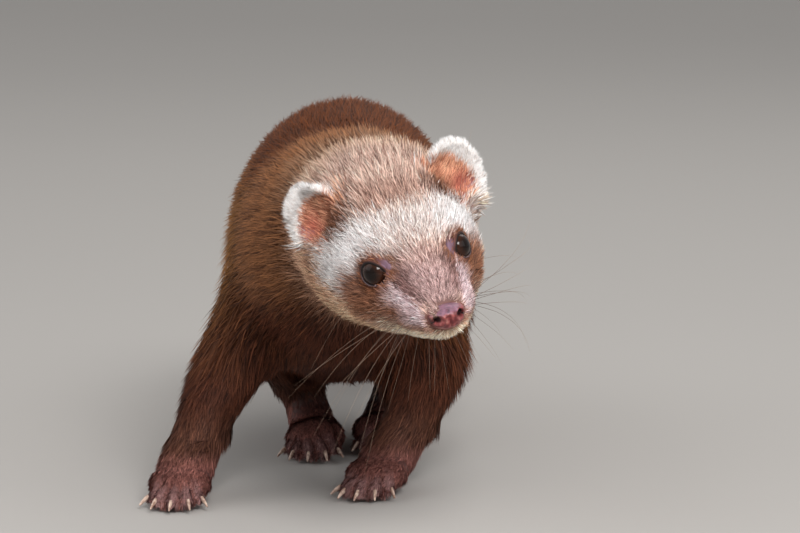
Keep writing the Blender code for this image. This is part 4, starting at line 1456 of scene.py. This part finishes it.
def nose_arrays(voxel=0.22):
    """Corners, triangles and colours of the nose pad, with its nostrils, slits and groove."""
    co, tri = voxel_net(welded_copy("nose", 0.12), voxel)
    edges = edges_of(tri)
    co = even_out(co, edges, 14)
    h = to_head(co)
    h[:, 2] -= 1.1 * ramp(h[:, 2], 0.2, 3.4)
    x, y, z = h.T
    side = np.abs(x)
    front = ramp(y, 4.0, 1.5)
    y += front * (1.5 * (x / 5.0) ** 2 + 0.5 * ramp(z, 0.6, 2.6) + 0.9 * ramp(z, -2.0, -3.9))
    hole = np.hypot((side - 3.3) / 1.02, (z - 0.25) / 1.08)
    nostril = np.exp(-hole ** 4)
    wing = bell(hole, 1.75, 0.42)
    t = np.clip((side - 3.4) / 1.9, 0, 1)
    slit = bell(np.hypot(side - 3.4 - 1.9 * t, z + 0.2 + 0.9 * t), 0.0, 0.36) * (side > 3.2)
    groove = bell(x, 0.0, 0.42) * ramp(z, 2.0, 0.4)
    lumps = noise(co, 1.1, 17) - 0.5
    y += front * (1.9 * nostril - 0.32 * wing + 0.7 * slit + 0.6 * groove + 0.35 * lumps)
    y -= 0.35 * front * bell(z, 1.7, 0.7) * ramp(side, 4.4, 3.0)
    co = even_out(from_head(h), edges, 1)
    wander = noise(co, 1.3, 9) - 0.5
    fleck = noise(co, 0.55, 10) - 0.5
    edge = np.hypot(x / 5.2, (z + 0.7) / 3.3) + 0.25 * wander
    # The lower part of the groove and of each nostril's wing, for painted shade.
    folds = np.maximum(groove * 0.8, 0.8 * wing * (z < 0.4))
    colour = layered(
        np.tile(linear("#9A5250"), (len(co), 1)),
        ("#B0746C", ramp(wander + 0.6 * fleck, 0.05, 0.3)),
        ("#6E2E30", ramp(-wander - 0.6 * fleck, 0.05, 0.3)),
        ("#86687C", ramp(z + 1.6 * wander, 1.1, 2.2) * 0.8),
        ("#64505E", ramp(z, 0.9, 1.8) * ramp(fleck, 0.08, 0.32) * 0.8),
        ("#4E2422", ramp(edge, 0.86, 1.0) * front * ramp(z, 1.5, 0.0)),
        # Painted shade: the groove and the folds under the nostrils' wings, then the nostrils and
        # slits, darkened as holes and creases in shade.
        ("#561F22", folds * front * 0.8),
        ("#1E080B", ramp(np.maximum(nostril, 0.8 * slit), 0.3, 0.75) * front))
    return co, tri, colour


class FERRET_OT_nose(bpy.types.Operator):
    """Make the bare nose pad with its nostrils and groove"""

    bl_idname = "ferret.nose"
    bl_label = "Nose pad"

    def execute(self, context):
        co, tri, colour = nose_arrays()
        mesh = build_mesh("nose_pad", co, tri)
        paint_corners(mesh, "tone", colour)
        mesh.materials.append(nose_material())
        nose = add_piece("nose_pad", mesh)
        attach(nose, BODY)
        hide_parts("nose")
        return {"FINISHED"}


class FERRET_OT_claws(bpy.types.Operator):
    """Make the claws of each paw smooth and finish them as horn"""

    bl_idname = "ferret.claws"
    bl_label = "Claws"

    def execute(self, context):
        material = claw_material()
        for paw, (middle, _) in zip(PAWS, WORK["paws"]):
            nodes = [f"claw_{paw}_{k}" for k in range(1, 6)]
            copies = [welded_copy(node, 0.28) for node in nodes]
            for claw in copies:
                # Shorten the claw towards its root.
                co, _ = mesh_arrays(claw.data)
                way = unit((co.mean(axis=0) - middle) * (1, 1, 0))
                back = co @ way
                root = Vector(co[back < back.min() + 1.0].mean(axis=0))
                claw.data.transform(
                    Matrix.Translation(root * MM) @ Matrix.Scale(CLAW_SHARE, 4)
                    @ Matrix.Translation(root * -MM))
            claws = joined(copies, "claws_" + paw)
            rounding = claws.modifiers.new("rounding", "SUBSURF")
            rounding.levels = rounding.render_levels = 2
            apply_all(claws)
            claws.data.shade_smooth()
            claws.data.materials.clear()
            claws.data.materials.append(material)
            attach(claws, BODY)
            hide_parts(*nodes)
        return {"FINISHED"}


def coat_density(h, co, normals, shares, outside, angles):
    """Tufts per square millimetre; none on the rims of the lids, nose, lips and soles."""
    x, y, z = h.T
    density = mixed(shares, DENSITY)
    density *= ramp(outside, 0.55, 1.2)
    density *= 1 - 0.8 * bell(angles, 0.75, 0.6) * ramp(outside, 3.8, 2.4)
    density *= 1 - ramp(y, 3.4, 1.8) * ramp(np.hypot(x / 4.7, (z + 0.9) / 3.0), 1.0, 0.88)
    density *= ramp(line_gap(h, MOUTH)[0], 0.2, 0.5)
    density *= 1 - 0.8 * bare_ear(h)
    density *= 1 - shares["paw"] * ramp(normals[:, 2], -0.25, -0.7)
    density[co[:, 2] < 0.4] = 0.0
    return density


def coat_fields():
    """Where tufts stand, how long, wide and raised they are, and which way they lie."""
    co, tri, edges, normals, shares, outside, angles = (
        WORK[key] for key in ("co", "tri", "edges", "normals", "shares", "outside", "angles"))
    h = to_head(co)
    _, y, z = h.T
    way, rise = lie_of_coat(co, normals, edges)
    steep = np.degrees(np.arcsin(rise.clip(0, 1)))
    steep = steep * ramp(steep, 20, 45)
    width, lift, clump, bend = (mixed(shares, column) for column in (WIDTH, LIFT, CLUMP, BEND))
    # Where two regions meet, the shorter coat has more say.
    length = 1 / sum(share / COAT[name][LENGTH] for name, share in shares.items())
    tail_tip = ramp(co[:, 1], 165, 195)
    length *= 1 - 0.25 * tail_tip
    lift *= 1 - 0.35 * tail_tip
    length *= 1 - 0.5 * ramp(outside, 6.0, 1.2)
    length *= 1 - 0.25 * toe_tops(co) * shares["paw"]
    length *= 1 - 0.4 * near(np.abs(bare_ear(h) - 0.35), 0.35)
    lift *= 1 - 0.35 * ramp(outside, 5.0, 1.0)
    # Shorter and flatter before each ear, and less steep at the foot of its rim.
    for row in EARS:
        u, v, w = in_ear(h, row)
        beside = np.abs(u)
        before = near(np.hypot(u * 0.85, (v + 0.10) * 1.1), 1.4) ** 0.5
        before = before * ramp(w, -3.0, 0.0) * ramp(w, 15.0, 8.0) * (1 - shares["ear_hollow"])
        by_flap = ramp(np.abs(w + 3.8), 9.0, 6.0)
        foot = ramp(beside, 0.45, 0.75) * ramp(beside, 1.7, 1.3)
        foot = foot * ramp(v, 0.5, 0.2) * ramp(v, -0.5, -0.2) * by_flap
        low_rim = ramp(beside, 0.5, 0.8) * ramp(v, 0.85, 0.5) * by_flap
        length *= 1 - 0.5 * before
        length *= 1 - 0.1 * foot
        lift *= 1 - 0.5 * before
        lift *= 1 + 0.25 * foot
        steep *= 1 - foot
        steep *= 1 - 0.7 * low_rim
    ruff = ramp(y, 50, 68) * ramp(y, 98, 84) * round_head(h, 46, 38) * ramp(z, 0, 12)
    length *= 1 + 0.22 * ruff
    lift *= 1 + 0.15 * ruff
    open_face = shares["face"] + shares["crown"] + shares["cheek"]
    head = shares["muzzle"] + shares["face"] + shares["crown"] + shares["cheek"]
    ears = shares["ear_rim"] + shares["ear_back"] + shares["ear_hollow"]
    return dict(
        co=co, tri=tri, normals=normals, way=way,
        density=coat_density(h, co, normals, shares, outside, angles),
        length=length, width=width, lift=lift, clump=clump, bend=bend, steep=steep,
        contrast=0.62 + 0.5 * head - 0.1 * ears,
        stray=8.0 + 6.0 * head,
        mingle=0.35 + 0.75 * open_face * ramp(outside, 3.0, 6.0),
        pale=0.08 + 0.16 * head)


class FERRET_OT_coat(bpy.types.Operator):
    """Lay the coat over the skin in several pieces of tufts"""

    bl_idname = "ferret.coat"
    bl_label = "Coat"

    def execute(self, context):
        settings = context.scene.ferret_coat
        fields = coat_fields()
        material = coat_material()
        target = settings.triangles * 1.0
        for index in range(settings.pieces):
            random = np.random.default_rng(settings.seed + index)
            kind = "under" if index < settings.under_pieces else "guard"
            layer = LAYERS[kind]
            count = int(target / layer["triangles"])
            corners, faces, tone, uv, soft = tuft_arrays(
                fields, count, layer["rows"], random, layer)
            name = f"coat_{kind}_{index + 1}"
            mesh = build_mesh(name, corners, faces)
            paint_corners(mesh, "tone", tone)
            patches = mesh.uv_layers.new(name="OFBake")
            patches.data.foreach_set("uv", uv[faces.ravel()].astype(np.float32).ravel())
            mesh.normals_split_custom_set_from_vertices(soft)
            mesh.materials.append(material)
            coat = add_piece(name, mesh)
            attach(coat, BODY)
        return {"FINISHED"}


# Whiskers: root in the head's axes for the left side, way they set off, length, droop.
WHISKERS = (
    ((8.4, 6.0, 0.6), (0.90, -0.10, 0.18), 24.0, 4.0),
    ((8.6, 6.6, -1.4), (0.92, -0.05, -0.10), 27.0, 6.0),
    ((9.6, 8.6, 0.8), (0.92, 0.12, 0.20), 30.0, 5.0),
    ((9.8, 9.0, -1.2), (0.92, 0.10, -0.08), 33.0, 7.0),
    ((9.6, 9.0, -3.0), (0.84, 0.05, -0.42), 28.0, 8.0),
    ((11.0, 12.0, 0.4), (0.88, 0.32, 0.14), 34.0, 6.0),
    ((11.2, 12.4, -1.8), (0.88, 0.30, -0.16), 36.0, 8.0),
    ((11.0, 12.6, -3.8), (0.78, 0.25, -0.52), 30.0, 8.0),
    ((12.4, 15.4, -0.6), (0.80, 0.50, 0.05), 34.0, 7.0),
    ((12.6, 15.8, -2.8), (0.80, 0.46, -0.30), 33.0, 8.0),
    ((6.6, 5.2, -6.6), (0.45, -0.15, -0.86), 14.0, 2.0),
    ((4.6, 5.0, -7.6), (0.30, -0.22, -0.92), 12.0, 2.0),
    ((2.4, 5.4, -8.0), (0.12, -0.25, -0.95), 13.0, 2.0),
    ((8.6, 8.4, -7.0), (0.55, 0.00, -0.82), 17.0, 2.5),
    ((10.2, 12.0, -7.4), (0.60, 0.15, -0.78), 18.0, 3.0),
    ((12.2, 17.0, -8.0), (0.62, 0.30, -0.70), 20.0, 3.0),
    ((11.6, 27.2, 15.2), (0.30, -0.10, 0.94), 26.0, -2.0),
    ((10.2, 26.2, 15.6), (0.10, -0.05, 0.98), 18.0, -2.0),
    ((22.0, 33.0, -2.0), (0.86, 0.40, -0.20), 20.0, 4.0),
)


def whisker_line(start, normal, way, length, droop, curl, drag):
    """Points along a whisker from under the skin to its tip, kept within the model's width."""
    t = (np.arange(WHISKER_ROWS) / (WHISKER_ROWS - 1))[:, None]
    line = start - normal * 0.4 + way * length * t
    line = line + curl * length * t * t
    line[:, 2:] -= droop * (1 + 2 * drag) * t * t
    line[:, 1:2] += 0.12 * length * t * t
    beyond = np.maximum(line[:, 0] - 53.0, 0)
    line[:, 0] = np.minimum(line[:, 0], 53.0) + 11.0 * np.tanh(beyond / 14.0)
    return line


def stem_arrays(line, thick):
    """Corners and triangles of a closed stem round a line, with a thickness at each point."""
    rows, sides = len(line), WHISKER_SIDES
    tangent = unit(np.gradient(line, axis=0))
    across = unit(np.cross(tangent, (0.1, 0.2, 0.97)))
    high = np.cross(across, tangent)
    turn = (2 * math.pi * np.arange(sides) / sides)[None, :, None]
    ring = across[:, None] * np.cos(turn) + high[:, None] * np.sin(turn)
    corners = line[:, None] + ring * thick[:, None, None]
    end = (rows - 1) * sides
    faces = []
    for low in range(0, end, sides):
        for j in range(sides):
            a, b = low + j, low + (j + 1) % sides
            faces += [(a, b, b + sides), (a, b + sides, a + sides)]
    faces += [(end, end + 1, end + 2), (end, end + 2, end + 3), (0, 2, 1), (0, 3, 2)]
    return corners.reshape(-1, 3), np.array(faces)


class FERRET_OT_whiskers(bpy.types.Operator):
    """Make the whiskers, brow hairs and chin hairs as thin tapered stems"""

    bl_idname = "ferret.whiskers"
    bl_label = "Whiskers"

    def execute(self, context):
        random = np.random.default_rng(12)
        co, normals = WORK["co"], WORK["normals"]
        skin_h = to_head(co)
        share = np.linspace(0, 1, WHISKER_ROWS)
        tone = blend(linear("#3A2A24"), linear("#B79A84"), share).repeat(WHISKER_SIDES, axis=0)
        corners, faces, tones_out = [], [], []
        for root, way, length, droop in WHISKERS:
            for mirror in (-1, 1):
                flip = np.array((mirror, 1, 1))
                root_h = np.array(root) * flip + random.normal(0, 0.25, 3)
                nearest = np.argmin(np.linalg.norm(skin_h - root_h, axis=1))
                # The right side's whiskers hang lower, as the head leans that way.
                drag = 0.42 if mirror < 0 and root[2] < 5 else 0.0
                goal = np.array(way) * flip + random.normal(0, 0.07, 3) - (0, 0, drag)
                goal = unit(goal) @ HEAD_AXES.T
                size = length * (0.88 + 0.24 * random.random())
                curl = random.normal(0, 0.06, 3)
                line = whisker_line(co[nearest], normals[nearest], goal, size, droop, curl, drag)
                thick = (0.066 if length > 22 else 0.052) * (1 - share * 0.82)
                stem, around = stem_arrays(line, thick)
                faces.append(around + len(stem) * len(corners))
                corners.append(stem)
                tones_out.append(tone)
        mesh = build_mesh("whiskers", np.concatenate(corners), np.concatenate(faces))
        paint_corners(mesh, "tone", np.concatenate(tones_out))
        mesh.materials.append(whisker_material())
        piece = add_piece("whiskers", mesh)
        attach(piece, BODY)
        return {"FINISHED"}


# Area lights: place, width, depth as a share of it (0 for a disk), share of the key's power, tint.
LIGHTS = {
    "key": ((0.32, -1.26, 0.96), 0.62, 0.8, 1.0, (1.0, 0.98, 0.97)),
    "fill_left": ((-2.2, -0.35, 1.5), 2.4, 0.8, 0.68, (0.98, 0.98, 1.0)),
    "fill_right": ((1.7, -1.5, 1.25), 2.2, 0.8, 0.58, (0.98, 0.98, 1.0)),
    "rim": ((0.35, 0.85, 1.15), 0.9, 0, 0.15, (1.0, 0.98, 0.95)),
}
LIT_PLACE = (0.03, -0.17, 0.07)


class FERRET_OT_stage(bpy.types.Operator):
    """Make the pale floor, the soft lights and the camera"""

    bl_idname = "ferret.stage"
    bl_label = "Stage"

    def execute(self, context):
        settings = context.scene.ferret_stage
        bm = bmesh.new()
        bmesh.ops.create_grid(bm, x_segments=24, y_segments=24, size=settings.floor_reach)
        mesh = bpy.data.meshes.new("floor")
        bm.to_mesh(mesh)
        bm.free()
        mesh.shade_smooth()
        mesh.materials.append(floor_material(tuple(settings.floor_colour)))
        floor = add_piece("floor", mesh)
        world = bpy.data.worlds.new("soft_room")
        world.use_nodes = True
        background = world.node_tree.nodes["Background"]
        background.inputs["Color"].default_value = (0.99, 0.98, 0.98, 1)
        background.inputs["Strength"].default_value = 0.5
        context.scene.world = world
        for name, (spot, width, depth, share, tint) in LIGHTS.items():
            light = bpy.data.lights.new(name, "AREA")
            light.shape = "RECTANGLE" if depth else "DISK"
            light.size = width
            if depth:
                light.size_y = width * depth
            light.energy = settings.key_power * share
            light.color = tint
            lamp = bpy.data.objects.new(name, light)
            lamp.location = spot
            aim = Vector(LIT_PLACE) - Vector(spot)
            lamp.rotation_euler = aim.to_track_quat("-Z", "Y").to_euler()
            context.collection.objects.link(lamp)
        camera = bpy.data.cameras.new("camera")
        camera.lens = settings.lens
        camera.sensor_width = 36.0
        camera.clip_end = 20.0
        eye = bpy.data.objects.new("camera", camera)
        eye.location = (settings.camera_side, -settings.camera_back, settings.camera_height)
        eye.rotation_euler = (math.pi / 2 - settings.tilt, 0.0, 0.0)
        context.collection.objects.link(eye)
        context.scene.camera = eye
        context.scene.view_settings.view_transform = "Standard"
        return {"FINISHED"}


class FERRET_PT_panel(bpy.types.Panel):
    """Sidebar panel that lists the pieces"""

    bl_idname = "FERRET_PT_panel"
    bl_label = "Ferret"
    bl_space_type = "VIEW_3D"
    bl_region_type = "UI"
    bl_category = "Ferret"

    def draw(self, context):
        layout = self.layout
        for _, name in GROUPS:
            group = getattr(context.scene, name)
            for key in group.__annotations__:
                layout.prop(group, key)
        for operator in OPERATORS:
            layout.operator(operator.bl_idname)


OPERATORS = (
    FERRET_OT_skin, FERRET_OT_eyes, FERRET_OT_nose, FERRET_OT_claws, FERRET_OT_coat,
    FERRET_OT_whiskers, FERRET_OT_stage,
)
GROUPS = (
    (FERRET_PG_skin, "ferret_skin"),
    (FERRET_PG_coat, "ferret_coat"),
    (FERRET_PG_stage, "ferret_stage"),
)


def register():
    for group, name in GROUPS:
        bpy.utils.register_class(group)
        setattr(bpy.types.Scene, name, bpy.props.PointerProperty(type=group))
    for operator in OPERATORS:
        bpy.utils.register_class(operator)
    bpy.utils.register_class(FERRET_PT_panel)


def unregister():
    bpy.utils.unregister_class(FERRET_PT_panel)
    for operator in reversed(OPERATORS):
        bpy.utils.unregister_class(operator)
    for group, name in reversed(GROUPS):
        delattr(bpy.types.Scene, name)
        bpy.utils.unregister_class(group)


def main():
    register()
    bpy.ops.ferret.skin()
    bpy.ops.ferret.eyes()
    bpy.ops.ferret.nose()
    bpy.ops.ferret.claws()
    bpy.ops.ferret.coat()
    bpy.ops.ferret.whiskers()
    bpy.ops.ferret.stage()


if __name__ == "__main__":
    main()
